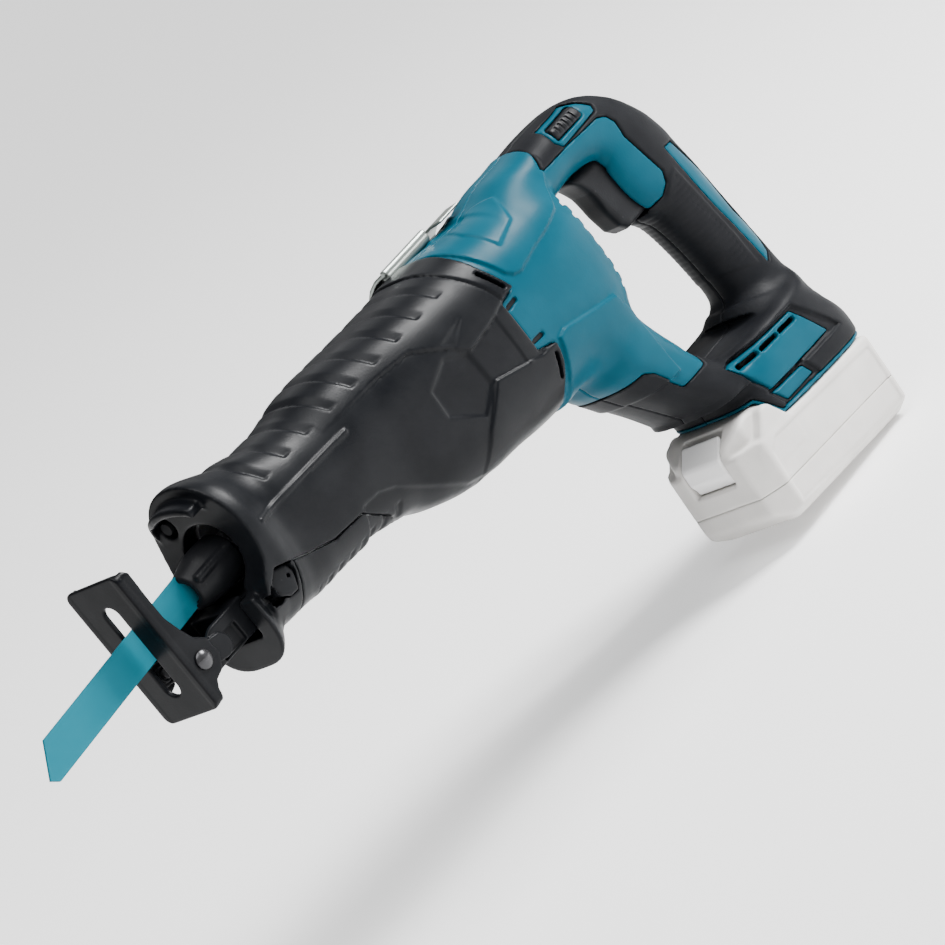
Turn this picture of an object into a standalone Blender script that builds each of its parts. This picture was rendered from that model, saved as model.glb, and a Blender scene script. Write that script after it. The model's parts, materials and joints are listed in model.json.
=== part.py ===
"""Cordless reciprocating saw, modelled as separate pieces.

Design lengths are in millimetres, in the tool's own frame: X runs forward along the spindle,
Y towards the left side, Z up. The design origin is where the crank axis meets the spindle's
level. place() turns a design point into metres with the origin under the middle of the tool.
"""
import math

import bmesh
import bpy
from mathutils import Matrix, Vector

MM = 0.001
SHIFT_X = -27.4            # design origin to the middle of the whole length
SHIFT_Z = 208.2            # design origin to the underside of the battery
GAP = 0.3                  # clearance between pieces that meet

WALL = 3.0                 # moulded housing wall
BOOT_WALL = 3.5            # rubber boot wall
CASTING_WALL = 3.5         # gear housing wall
RING_POINTS = 20           # points round a lofted section

SPINDLE_Z = 3.0            # height of the spindle axis
SPINDLE_R = 9.0
STROKE = 32.0
CRANK_R = STROKE / 2
CRANK_PIN_R = 4.0
YOKE_PLAY = 3.6            # clearance of the pin along the stroke, each way

MOTOR_Z = -30.5
PINION_TEETH = 9
GEAR_TEETH = 36
TOOTH_DEPTH = 2.0
GEAR_R = 27.5
GEAR_FACE_Z = -37.5        # face that carries the crown teeth

SHOE_PIVOT = (205.5, -17.5)
CASTING_FRONT_X = 138.0
LAMP = (-17, 27)           # y and z of the work lamp in the nose ring

BATTERY_ORIGIN = (-172.5, -175.0)
BATTERY_TILT = math.radians(4.2)

# Stations of a loft: x, z, direction of the first half-size (degrees), the two half-sizes
# (in the XZ plane, along Y) and the squareness of the section.
BARREL = [(-57.4, -18.5, 90, 52, 40, 2.6), (-75, -19, 90, 51, 39.5, 2.6),
          (-100, -20, 90, 50, 38, 2.8), (-118, -21, 90, 46, 35, 3), (-127, -21, 90, 38, 28, 3)]
HANDLE = [(-100, 17, 90, 17, 24, 2.6), (-130, 19, 90, 16.5, 22, 2.6),
          (-160, 19.7, 92, 16, 19.5, 2.6), (-184, 16, 102, 18, 18.5, 2.6),
          (-196.5, 6, 125, 21.5, 18, 2.5), (-202.8, -8, 152, 26.5, 18, 2.5),
          (-206.8, -24, 170, 27.5, 18, 2.5), (-213, -42, 176, 22.5, 17.5, 2.4),
          (-216.3, -64, 180, 20.5, 17, 2.3), (-218.8, -90, 180, 20, 17, 2.3),
          (-218, -106, 180, 22.5, 19, 2.4), (-211.5, -120, 180, 30.5, 26.5, 2.8)]
BRIDGE = [(-100, -50, 180, 26, 32, 3), (-108, -72, 180, 19, 30, 3), (-117, -92, 180, 14.5, 28, 3),
          (-129, -110, 180, 13, 29, 3), (-146, -127, 180, 19, 33, 3)]
FOOT = [(-204, -108, 180, 32, 22, 3), (-194, -115, 180, 44, 33, 3),
        (-189, -126, 180, 46, 36, 3), (-188.5, -147, 180, 51.5, 37, 4),
        (-188.5, -168, 180, 51.5, 37, 4)]
FOOT_CAVITY = [(-200, -112, 180, 26, 20, 3), (-193, -119, 180, 41, 31, 3.4),
               (-189, -138, 180, 47, 34, 4)]
BOOT = [(-57, -18.5, 90, 52.5, 40.5, 2.6), (-40, -18.4, 90, 51.6, 40.5, 2.7),
        (0, -16.6, 90, 49, 39, 2.8), (20, -14.8, 90, 47.6, 37, 2.8), (35, -12, 90, 46, 35, 2.7),
        (50, -7.8, 90, 42.5, 33, 2.6), (80, -5.6, 90, 38.2, 31, 2.5), (110, -4.6, 90, 38, 30, 2.5),
        (130, -1.8, 90, 39.8, 30, 2.4), (141, 0.6, 90, 41.8, 31.5, 2.3),
        (151, 1.4, 90, 42.4, 31.4, 2.2)]
LOBE = [(128, -24, 90, 14, 25, 2.4), (146, -22, 90, 18, 27, 2.4), (158, -21, 90, 21, 24, 2.6),
        (168, -22, 90, 27, 27.5, 2.8)]

# Side outline of the dark grip region; what is left of the housing is the coloured shell.
DARK_REGION = [(-141, 60), (-141, 19), (-190, 19), (-199, 11), (-204, -26), (-196, -36),
               (-160, -39), (-160, -90), (-136, -111), (-117, -108), (-100, -88), (-86, -90),
               (-70, -93), (-70, -230), (-280, -230), (-280, 60)]
# Side outline of the lower front guard.
GUARD_REGION = [(127, -19), (110, -24), (87, -26), (72, -38), (58, -48), (58, -60), (127, -60)]

# Housing screws: x, z and how far the boss reaches to each side.
SCREW_PLACES = [(-66, 14, 32), (-122, 18, 20.5), (-112, -76, 27.6), (-147, -124, 30.5),
                (-217, -80, 15.2), (-207, 6, 15.8)]
SCREW_HEAD_R = 3.2
SCREW_SHANK_R = 1.8
BOSS_R = 5.0


# ---------------------------------------------------------------- basic helpers

def place(x, y, z):
    """Design point in millimetres to scene point in metres."""
    return Vector((x + SHIFT_X, y, z + SHIFT_Z)) * MM


def battery_point(u, y, w):
    """Point in the tilted battery frame: u along the rails, w square to them."""
    x0, z0 = BATTERY_ORIGIN
    c, s = math.cos(BATTERY_TILT), math.sin(BATTERY_TILT)
    return place(x0 + u * c - w * s, y, z0 + u * s + w * c)


def clear_scene():
    for obj in list(bpy.data.objects):
        bpy.data.objects.remove(obj, do_unlink=True)


def make_collection(name):
    collection = bpy.data.collections.new(name)
    bpy.context.scene.collection.children.link(collection)
    return collection


def make_material(name, color, roughness, metallic=0.0):
    material = bpy.data.materials.new(name)
    material.use_nodes = True
    shader = material.node_tree.nodes["Principled BSDF"]
    shader.inputs["Base Color"].default_value = (*color, 1.0)
    shader.inputs["Roughness"].default_value = roughness
    shader.inputs["Metallic"].default_value = metallic
    return material


def make_object(name, mesh, finish=None):
    """Link a mesh as a named part, or as a cutter when it has no finish."""
    obj = bpy.data.objects.new(name, mesh)
    if finish is None:
        CUTTERS.objects.link(obj)
        obj.hide_render = True
        obj.display_type = "WIRE"
        return obj
    PARTS.objects.link(obj)
    obj.data.materials.clear()
    obj.data.materials.append(make_material(name, *finish))
    return obj


def mesh_from(bm, name):
    mesh = bpy.data.meshes.new(name)
    bmesh.ops.recalc_face_normals(bm, faces=bm.faces)
    bm.to_mesh(mesh)
    bm.free()
    mesh.shade_smooth()
    mesh.set_sharp_from_angle(angle=math.radians(35))
    return mesh


def loft(name, stations, finish=None, inset=0.0):
    """Closed skin through superellipse sections."""
    bm = bmesh.new()
    rings = []
    for x, z, degrees, half_a, half_b, power in stations:
        out = Vector((math.cos(math.radians(degrees)), 0, math.sin(math.radians(degrees))))
        ring = []
        for k in range(RING_POINTS):
            t = 2 * math.pi * (k + 0.5) / RING_POINTS
            ca, sb = math.cos(t), math.sin(t)
            a = (half_a - inset) * math.copysign(abs(ca) ** (2 / power), ca)
            b = (half_b - inset) * math.copysign(abs(sb) ** (2 / power), sb)
            ring.append(bm.verts.new(place(x, 0, z) + (out * a + Vector((0, b, 0))) * MM))
        rings.append(ring)
    for one, two in zip(rings, rings[1:]):
        for k in range(RING_POINTS):
            n = (k + 1) % RING_POINTS
            bm.faces.new((one[k], one[n], two[n], two[k]))
    bm.faces.new(rings[0])
    bm.faces.new(rings[-1])
    return make_object(name, mesh_from(bm, name), finish)


def box(name, low, high, finish=None, bevel=0.0, to_scene=place):
    """Box between two design corners, with optional rounded edges."""
    bm = bmesh.new()
    bmesh.ops.create_cube(bm, size=1.0)
    for vert in bm.verts:
        corner = [high[i] if vert.co[i] > 0 else low[i] for i in range(3)]
        vert.co = to_scene(*corner)
    obj = make_object(name, mesh_from(bm, name), finish)
    if bevel:
        add_bevel(obj, bevel)
    return obj


def cylinder(name, start, end, radius, finish=None, segments=20, tip_radius=None):
    """Cylinder or cone between two design points."""
    a, b = place(*start), place(*end)
    bm = bmesh.new()
    turn = (b - a).to_track_quat("Z", "X").to_matrix().to_4x4()
    tip = radius if tip_radius is None else tip_radius
    bmesh.ops.create_cone(bm, cap_ends=True, segments=segments, radius1=radius * MM,
                          radius2=tip * MM, depth=(b - a).length,
                          matrix=Matrix.Translation((a + b) / 2) @ turn)
    return make_object(name, mesh_from(bm, name), finish)


def turned(name, profile, origin, turn, finish=None, steps=24):
    """Closed (radius, height) profile turned about an axis with a Screw modifier."""
    mesh = bpy.data.meshes.new(name)
    points = [Vector((r, 0, h)) * MM for r, h in profile]
    edges = [(k, (k + 1) % len(points)) for k in range(len(points))]
    mesh.from_pydata(points, edges, [])
    obj = make_object(name, mesh, finish)
    obj.matrix_world = Matrix.Translation(place(*origin)) @ turn
    screw = obj.modifiers.new("turn", "SCREW")
    screw.steps = screw.render_steps = steps
    screw.use_merge_vertices = True
    screw.merge_threshold = 0.00001
    return obj


TO_X = Matrix.Rotation(math.radians(90), 4, "Y")     # turned height runs along +X
TO_Z = Matrix.Identity(4)


def ring_on_x(name, x0, x1, r_in, r_out, z, finish, steps=24):
    """Plain ring whose axis lies along X."""
    profile = [(r_out, x1), (r_out, x0), (r_in, x0), (r_in, x1)]
    return turned(name, profile, (0, 0, z), TO_X, finish, steps)


def rounded(points, radius, steps=3):
    """Replace each corner of a closed outline by a short arc."""
    result = []
    count = len(points)
    for k in range(count):
        here = Vector(points[k])
        before = Vector(points[k - 1]) - here
        after = Vector(points[(k + 1) % count]) - here
        reach = min(radius, before.length * 0.45, after.length * 0.45)
        start, stop = here + before.normalized() * reach, here + after.normalized() * reach
        for s in range(steps + 1):
            t = s / steps
            result.append(tuple(start * (1 - t) ** 2 + here * 2 * t * (1 - t) + stop * t ** 2))
    return result


def grown(points, distance):
    """Move every side of a closed outline outwards by a distance."""
    area = sum(points[k - 1][0] * points[k][1] - points[k][0] * points[k - 1][1]
               for k in range(len(points)))
    side = math.copysign(1.0, area)
    result = []
    for k in range(len(points)):
        here = Vector(points[k])
        into = (here - Vector(points[k - 1])).normalized()
        away = (Vector(points[(k + 1) % len(points)]) - here).normalized()
        n1, n2 = Vector((into.y, -into.x)) * side, Vector((away.y, -away.x)) * side
        mitre = (n1 + n2) / (1 + n1.dot(n2))
        result.append(tuple(here + mitre * distance))
    return result


def plate(name, outlines, across, low, high, finish=None):
    """Flat curve outlines (the first is the rim, the rest holes) extruded across an axis."""
    curve = bpy.data.curves.new(name, "CURVE")
    curve.dimensions = "2D"
    curve.fill_mode = "BOTH"
    curve.extrude = (high - low) / 2 * MM
    for outline in outlines:
        spline = curve.splines.new("POLY")
        spline.points.add(len(outline) - 1)
        for point, (p, q) in zip(spline.points, outline):
            point.co = (p * MM, q * MM, 0, 1)
        spline.use_cyclic_u = True
    frames = {"Y": ((1, 0, 0), (0, 0, 1), (0, -1, 0)), "X": ((0, 1, 0), (0, 0, 1), (1, 0, 0)),
              "Z": ((1, 0, 0), (0, 1, 0), (0, 0, 1))}
    u, v, n = (Vector(axis) for axis in frames[across])
    middle = (low + high) / 2
    origin = place(0, 0, 0) + Vector([abs(c) for c in n]) * middle * MM
    matrix = Matrix((u, v, n)).transposed().to_4x4()
    temp = bpy.data.objects.new(name + "_outline", curve)
    bpy.context.scene.collection.objects.link(temp)
    mesh = bpy.data.meshes.new_from_object(
        temp.evaluated_get(bpy.context.evaluated_depsgraph_get()))
    bpy.data.objects.remove(temp)
    bm = bmesh.new()
    bm.from_mesh(mesh)
    bmesh.ops.remove_doubles(bm, verts=bm.verts, dist=0.000001)
    bmesh.ops.transform(bm, matrix=Matrix.Translation(origin) @ matrix, verts=bm.verts)
    return make_object(name, mesh_from(bm, name), finish)


def coil(name, start, end, radius, wire_r, turns, finish):
    """Coil spring as a poly curve round the line from start to end."""
    per_turn = 8
    a, b = place(*start), place(*end)
    turn = (b - a).to_track_quat("Z", "X").to_matrix()
    curve = bpy.data.curves.new(name, "CURVE")
    curve.dimensions = "3D"
    curve.bevel_depth = wire_r * MM
    curve.bevel_resolution = 1
    curve.use_fill_caps = True
    spline = curve.splines.new("POLY")
    count = turns * per_turn + 1
    spline.points.add(count - 1)
    for k, point in enumerate(spline.points):
        t = 2 * math.pi * k / per_turn
        offset = Vector((radius * math.cos(t), radius * math.sin(t), 0)) * MM
        point.co = (*(a.lerp(b, k / (count - 1)) + turn @ offset), 1)
    obj = make_object(name, curve, finish)
    return obj


def add_bevel(obj, width, segments=2, angle=40):
    bevel = obj.modifiers.new("round_edges", "BEVEL")
    bevel.width = width * MM
    bevel.segments = segments
    bevel.limit_method = "ANGLE"
    bevel.angle_limit = math.radians(angle)


def boolean(obj, other, operation):
    modifier = obj.modifiers.new(operation.lower(), "BOOLEAN")
    modifier.operation = operation
    modifier.object = other
    modifier.solver = "EXACT"


def cut(obj, *cutters):
    for cutter in cutters:
        boolean(obj, cutter, "DIFFERENCE")


def join(obj, *others):
    for other in others:
        boolean(obj, other, "UNION")


def settle(obj):
    """Apply an object's modifiers and put its mesh in scene coordinates."""
    bpy.context.view_layer.update()
    evaluated = obj.evaluated_get(bpy.context.evaluated_depsgraph_get())
    mesh = bpy.data.meshes.new_from_object(evaluated)
    mesh.transform(obj.matrix_world)
    obj.modifiers.clear()
    obj.data = mesh
    obj.matrix_world = Matrix.Identity(4)
    return obj


def set_origin(obj, point, to_scene=place):
    """Put a settled object's origin on its joint's axis without moving the shape."""
    where = to_scene(*point)
    obj.data.transform(Matrix.Translation(-where))
    obj.matrix_world = Matrix.Translation(where)


def axle(name, point, pieces):
    """Empty on a joint's axis that carries the pieces of one moving group."""
    empty = bpy.data.objects.new(name, None)
    PARTS.objects.link(empty)
    empty.location = place(*point)
    bpy.context.view_layer.update()
    for piece in pieces:
        world = piece.matrix_world.copy()
        piece.parent = empty
        piece.matrix_world = world


# ---------------------------------------------------------------- finishes

TEAL = ((0.0, 0.216, 0.314), 0.38)
DARK = ((0.048, 0.045, 0.055), 0.55)
RUBBER = ((0.036, 0.04, 0.05), 0.5)
BLACK = ((0.02, 0.02, 0.023), 0.45)
STEEL = ((0.45, 0.45, 0.46), 0.32, 1.0)
DARK_STEEL = ((0.05, 0.052, 0.058), 0.35, 0.6)
CAST = ((0.55, 0.56, 0.57), 0.5, 0.9)
BRONZE = ((0.5, 0.33, 0.16), 0.4, 0.9)
COPPER = ((0.62, 0.27, 0.12), 0.35, 1.0)
BLADE = ((0.0, 0.392, 0.497), 0.35)
PALE = ((0.665, 0.637, 0.611), 0.5)
BUTTON = ((0.9, 0.88, 0.88), 0.45)
LENS = ((0.85, 0.88, 0.9), 0.1)


# ---------------------------------------------------------------- housing

def battery_space():
    """Cutters for the room that the battery needs under the foot."""
    front = box("space_front", (19.4, -60, -60), (90, 60, 32.1), to_scene=battery_point)
    under = box("space_under", (-80, -60, -60), (90, 60, 18.6), to_scene=battery_point)
    slot = box("space_slot", (-51.0, -29.4, 10), (60, 29.4, 31.2), to_scene=battery_point)
    return front, under, slot


def screw_cutters(index, x, z):
    """Clearance hole with a counterbore that opens on the right side."""
    shank = cylinder(f"screw_hole_{index}", (x, 9, z), (x, -60, z), SCREW_SHANK_R + GAP,
                     segments=8)
    head = cylinder(f"screw_seat_{index}", (x, -9, z), (x, -60, z), SCREW_HEAD_R + GAP,
                    segments=10)
    return shank, head


def housing_solid():
    """Hollow housing with bosses and openings, before it is split into shells."""
    shell = loft("housing_outer", BARREL)
    join(shell, loft("handle_outer", HANDLE), loft("bridge_outer", BRIDGE),
         loft("foot_outer", FOOT))
    barrel_cavity = [(-50, -18.5, 90, 52, 40, 2.5)] + BARREL[1:-1] + [(-124, -21, 90, 40, 30, 3)]
    handle_cavity = HANDLE[:-1]
    cut(shell, loft("barrel_cavity", barrel_cavity, inset=WALL),
        loft("handle_cavity", handle_cavity, inset=WALL),
        loft("bridge_cavity", BRIDGE, inset=WALL), loft("foot_cavity", FOOT_CAVITY))
    cut(shell, *battery_space())
    for index, (x, z, reach) in enumerate(SCREW_PLACES, 1):
        join(shell, cylinder(f"boss_{index}", (x, reach, z), (x, -reach, z), BOSS_R,
                             segments=10))
    for index, (x, z, _) in enumerate(SCREW_PLACES, 1):
        cut(shell, *screw_cutters(index, x, z))
    cut(shell, box("trigger_slot", (-209, -9.4, -38.6), (-150, 9.4, 4.0)),
        box("lock_off_hole", (-184.4, -40, 23.6), (-159.6, 40, 31.4)),
        box("wire_passage", (-205, -9, -122), (-165, 9, -100)))
    return settle(shell)


def housing_shells():
    """The coloured and the dark shell of each side."""
    whole = housing_solid()
    dark_zone = plate("dark_zone", [DARK_REGION], "Y", -60, 60)
    dark_gap = plate("dark_gap", [grown(DARK_REGION, GAP)], "Y", -60, 60)
    dark = make_object("dark_whole", whole.data.copy())
    boolean(dark, dark_zone, "INTERSECT")
    settle(dark)
    cut(whole, dark_gap)
    settle(whole)
    others = {"left": box("right_half", (-300, -60, -260), (20, GAP / 2, 80)),
              "right": box("left_half", (-300, -GAP / 2, -260), (20, 60, 80))}
    for side, other_half in others.items():
        for name, source, finish in (("housing", whole, TEAL), ("grip", dark, DARK)):
            shell = make_object(f"{name}_{side}", source.data.copy(), finish)
            cut(shell, other_half)
            settle(shell)
    bpy.data.objects.remove(whole)
    bpy.data.objects.remove(dark)


def housing_screws():
    for index, (x, z, _) in enumerate(SCREW_PLACES, 1):
        head = cylinder(f"housing_screw_{index}", (x, -9.3, z), (x, -12.3, z), SCREW_HEAD_R,
                        STEEL, segments=12)
        shank = cylinder(f"screw_shank_{index}", (x, 7, z), (x, -10, z), SCREW_SHANK_R,
                         segments=10)
        join(head, shank)
        settle(head)


# ---------------------------------------------------------------- boot and gear housing

def boot_solid():
    """Rubber boot with the flared nose ring and the lobe round the shoe bracket."""
    boot = loft("boot_outer", BOOT)
    join(boot, loft("lobe_outer", LOBE))
    inner = [(-70, -18.5, 90, 52.5, 40.5, 2.5)] + BOOT[:-2] + [(138.3, -4, 90, 36.5, 30, 2.4)]
    cut(boot, loft("boot_cavity", inner, inset=BOOT_WALL),
        cylinder("nose_opening", (130, 0, SPINDLE_Z), (170, 0, SPINDLE_Z), 20, segments=28),
        cylinder("lamp_hole", (143.2, *LAMP), (170, *LAMP), 3.6, segments=12),
        box("bracket_opening", (130, -16, -33), (170, 16, -10)),
        cylinder("shoe_button_hole", (147, 13, -19), (147, 40, -19), 8.0, segments=20))
    return settle(boot)


def boot_and_guard():
    whole = boot_solid()
    guard_zone = plate("guard_zone", [GUARD_REGION], "Y", -60, 60)
    guard_gap = plate("guard_gap", [grown(GUARD_REGION, GAP)], "Y", -60, 60)
    boot = make_object("boot", whole.data.copy(), RUBBER)
    cut(boot, guard_gap)
    guard = make_object("lower_guard", whole.data.copy(), RUBBER)
    boolean(guard, guard_zone, "INTERSECT")
    settle(boot)
    settle(guard)
    bpy.data.objects.remove(whole)


def casting_solid():
    """Gear housing casting: gear room behind, bush seat and shoe channel in front."""
    outer = [(-56, -18.5, 90, 52.5, 40.5, 2.5)] + BOOT[1:-2]
    outer += [(CASTING_FRONT_X, -4, 90, 36.5, 30, 2.4)]
    casting = loft("casting_outer", outer, inset=BOOT_WALL + GAP)
    room = [(-40, -18, 90, 49, 40.5, 2.8)] + BOOT[2:5] + [(60, -5, 90, 38, 31, 2.5)]
    cut(casting, loft("gear_room", room, inset=BOOT_WALL + GAP + CASTING_WALL),
        cylinder("bush_seat", (50, 0, SPINDLE_Z), (150, 0, SPINDLE_Z), 14.3, segments=24),
        cylinder("nose_pocket", (112, 0, SPINDLE_Z), (150, 0, SPINDLE_Z), 19.5, segments=24),
        box("shoe_channel", (66, -11.4, -29.4), (150, 11.4, -13.4)),
        cylinder("motor_bearing_seat", (-70, 0, MOTOR_Z), (-41, 0, MOTOR_Z), 11.3, segments=24),
        cylinder("motor_shaft_hole", (-70, 0, MOTOR_Z), (-30, 0, MOTOR_Z), 8.6, segments=24))
    return settle(casting)


def gear_housing():
    """The casting is parted level, just above the yoke."""
    whole = casting_solid()
    parting = 15.0
    lower = make_object("gear_housing", whole.data.copy(), CAST)
    cut(lower, box("above_parting", (-100, -60, parting - GAP / 2), (64, 60, 60)))
    cover = make_object("gear_housing_cover", whole.data.copy(), CAST)
    boolean(cover, box("cover_zone", (-100, -60, parting + GAP / 2), (64 - GAP, 60, 60)),
            "INTERSECT")
    join(lower, cylinder("gear_post", (0, 0, -57.2), (0, 0, -42.5), 14, segments=24))
    cut(lower, cylinder("post_bore", (0, 0, -50.7), (0, 0, -40), 11.3, segments=24))
    settle(lower)
    settle(cover)
    bpy.data.objects.remove(whole)


def led_lens():
    cylinder("led_lens", (143.6, *LAMP), (150.2, *LAMP), 3.3, LENS, segments=12)


# ---------------------------------------------------------------- drive

def pinion(tip_r, low, high):
    """Spur pinion on the motor shaft, with one tooth pointing straight down."""
    outline = []
    root_r = tip_r - TOOTH_DEPTH
    for k in range(PINION_TEETH):
        for part, radius in ((-0.3, root_r), (-0.13, tip_r), (0.13, tip_r), (0.3, root_r)):
            t = 2 * math.pi * (k + part) / PINION_TEETH - math.pi / 2
            outline.append((radius * math.cos(t), MOTOR_Z + radius * math.sin(t)))
    wheel = plate("motor_pinion", [outline], "X", low, high, STEEL)
    cut(wheel, cylinder("pinion_bore", (low - 5, 0, MOTOR_Z), (high + 5, 0, MOTOR_Z), 3.3,
                        segments=16))
    return settle(wheel)


def crown_gear():
    """Horizontal gear with radial teeth on its upper face, under the pinion."""
    gear = cylinder("bevel_gear", (0, 0, GEAR_FACE_Z - 3.5), (0, 0, GEAR_FACE_Z), GEAR_R, STEEL,
                    segments=GEAR_TEETH)
    for k in range(GEAR_TEETH):
        tooth = box(f"crown_tooth_{k}", (19.0, -0.5, GEAR_FACE_Z - 1),
                    (GEAR_R - 0.4, 0.5, GEAR_FACE_Z + TOOTH_DEPTH))
        tooth.matrix_world = turn_about_z(360 * (k + 0.5) / GEAR_TEETH)
        join(gear, tooth)
    cut(gear, cylinder("gear_bore", (0, 0, -60), (0, 0, -30), 6.3, segments=20))
    return settle(gear)


def crank_train():
    """Bevel gear, hub, crank disc and pin, turning about the vertical axis."""
    gear = crown_gear()
    hub = cylinder("crank", (0, 0, GEAR_FACE_Z + GAP), (0, 0, -20), 11, STEEL, segments=24)
    disc = cylinder("crank_disc_blank", (0, 0, -22), (0, 0, -12), 23, segments=32)
    stub = cylinder("crank_stub", (0, 0, -36), (0, 0, -50.2), 6, segments=20)
    pin = cylinder("crank_pin_blank", (CRANK_R, 0, -13), (CRANK_R, 0, SPINDLE_Z + 7), 2.6,
                   segments=20)
    join(hub, disc, stub, pin)
    settle(hub)
    roller = turned("crank_roller",
                    [(CRANK_PIN_R, SPINDLE_Z + 5), (CRANK_PIN_R, SPINDLE_Z - 5),
                     (2.8, SPINDLE_Z - 5), (2.8, SPINDLE_Z + 5)],
                    (CRANK_R, 0, 0), TO_Z, STEEL, steps=20)
    settle(roller)
    axle("crank_axis", (0, 0, 0), [gear, hub, roller])
    bearing = turned("crank_bearing", [(11, -43), (11, -50.4), (6.3, -50.4), (6.3, -43)],
                     (0, 0, 0), TO_Z, STEEL)
    settle(bearing)


def spindle_group():
    """Spindle with its yoke, the blade clamp's parts and the blade."""
    z = SPINDLE_Z
    spindle = cylinder("spindle", (24, 0, z), (168, 0, z), SPINDLE_R, STEEL, segments=24)
    slot_y = CRANK_R + CRANK_PIN_R + 0.7
    slot_x = CRANK_PIN_R + YOKE_PLAY
    yoke = box("yoke_blank", (CRANK_R - slot_x - 6, -slot_y - 3.5, z - 6),
               (CRANK_R + slot_x + 6, slot_y + 3.5, z + 6))
    slot = box("yoke_slot", (CRANK_R - slot_x, -slot_y, z - 20),
               (CRANK_R + slot_x, slot_y, z + 20))
    tang_slot = box("tang_slot", (148, -1.0, z - 5.8), (175, 1.0, z + 5.8))
    pin_hole = cylinder("clamp_pin_hole", (158, -6, z), (158, 20, z), 1.9, segments=12)
    join(spindle, yoke)
    cut(spindle, slot, tang_slot, pin_hole)
    settle(spindle)
    pin = cylinder("clamp_pin", (158, -5, z), (158, 8.4, z), 1.6, STEEL, segments=12)
    axle("spindle_axis", (CRANK_R, 0, z), [spindle, pin, blade()])


def blade():
    """Flat blade: a narrow tang, then the full height with a slanted tip."""
    z = SPINDLE_Z
    outline = [(148.6, z - 5.3), (174.4, z - 5.3), (175.4, -4.6), (292.5, -11.6), (296.5, -8.2),
               (285.5, 7.2), (175.4, 13.4), (174.4, z + 5.3), (148.6, z + 5.3)]
    hole = [(158 + 2.0 * math.cos(a), z + 2.0 * math.sin(a))
            for a in (2 * math.pi * k / 12 for k in range(12))]
    return plate("blade", [outline, hole], "Y", -0.65, 0.65, BLADE)


def clamp_sleeve():
    """Sleeve that is twisted to free the blade, with one long grip rib."""
    z = SPINDLE_Z
    r = SPINDLE_R + GAP
    profile = [(7.5, 172), (10.5, 172), (12, 170), (12, 146), (r, 146), (r, 168.4), (6.4, 168.4),
               (6.4, 172)]
    sleeve = turned("clamp_sleeve", profile, (0, 0, z), TO_X, BLACK)
    rib = box("sleeve_rib", (149, 10.5, z + 3.5), (168, 14.5, z + 6.5), bevel=1.0)
    join(sleeve, rib)
    settle(sleeve)
    set_origin(sleeve, (160, 0, z))


def spindle_supports():
    ring_on_x("front_bush", 72, 105, SPINDLE_R + 0.15, 14.0, SPINDLE_Z, BRONZE)
    ring_on_x("spindle_seal", 105.6, 111, SPINDLE_R + 0.3, 14.0, SPINDLE_Z, BLACK)


def motor():
    """Brushless motor: outer stator, and a rotor with fan and pinion on one shaft."""
    z = MOTOR_Z
    ring_on_x("stator", -100, -67, 13.8, 27.5, z, DARK_STEEL, steps=28)
    ring_on_x("stator_coil_front", -66.7, -60, 14.5, 25, z, COPPER)
    ring_on_x("motor_bearing_front", -49, -42, 4.3, 11.0, z, STEEL)
    ring_on_x("motor_bearing_rear", -121.5, -116, 3.3, 8.0, z, STEEL)
    shaft = cylinder("motor_shaft", (-121, 0, z), (-19.5, 0, z), 3.0, STEEL, segments=16)
    journal = cylinder("shaft_journal", (-52, 0, z), (-34, 0, z), 4.0, segments=16)
    join(shaft, journal)
    settle(shaft)
    rotor = ring_on_x("rotor", -99, -68, 3.3, 13.0, z, DARK_STEEL)
    fan = ring_on_x("motor_fan", -113, -111, 3.3, 22.0, z, BLACK)
    for k in range(9):
        vane = box(f"fan_vane_{k}", (-111.5, 8, z - 0.7), (-104, 21, z + 0.7))
        vane.matrix_world = turn_about_x(k * 40, z)
        join(fan, vane)
    settle(fan)
    settle(rotor)
    axle("motor_axis", (-80, 0, z), [shaft, rotor, fan, pinion(6.5, -26.5, -19.8)])


def turn_about_x(degrees, z):
    centre = place(0, 0, z)
    return (Matrix.Translation(centre) @ Matrix.Rotation(math.radians(degrees), 4, "X")
            @ Matrix.Translation(-centre))


def turn_about_z(degrees):
    centre = place(0, 0, 0)
    return (Matrix.Translation(centre) @ Matrix.Rotation(math.radians(degrees), 4, "Z")
            @ Matrix.Translation(-centre))


# ---------------------------------------------------------------- shoe

def shoe_bracket():
    px, pz = SHOE_PIVOT
    bracket = box("shoe_bracket", (72, -11, -29), (203, 11, -13.8), DARK_STEEL)
    neck = box("bracket_neck", (163, -15, -29), (203, 15, -15.5))
    knuckle = cylinder("bracket_knuckle", (px, -17.8, pz), (px, 17.8, pz), 6.3, segments=20)
    bore = cylinder("bracket_bore", (px, -30, pz), (px, 30, pz), 2.7, segments=16)
    join(bracket, neck, knuckle)
    cut(bracket, bore)
    settle(bracket)
    for side, sign in (("left", 1), ("right", -1)):
        pin = cylinder(f"shoe_rivet_{side}", (px, sign * 9, pz), (px, sign * 22, pz), 2.4,
                       DARK_STEEL, segments=16)
        head = cylinder(f"rivet_head_{side}", (px, sign * 21.4, pz), (px, sign * 23.6, pz), 4.6,
                        segments=16, tip_radius=2.6)
        join(pin, head)
        settle(pin)


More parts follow.
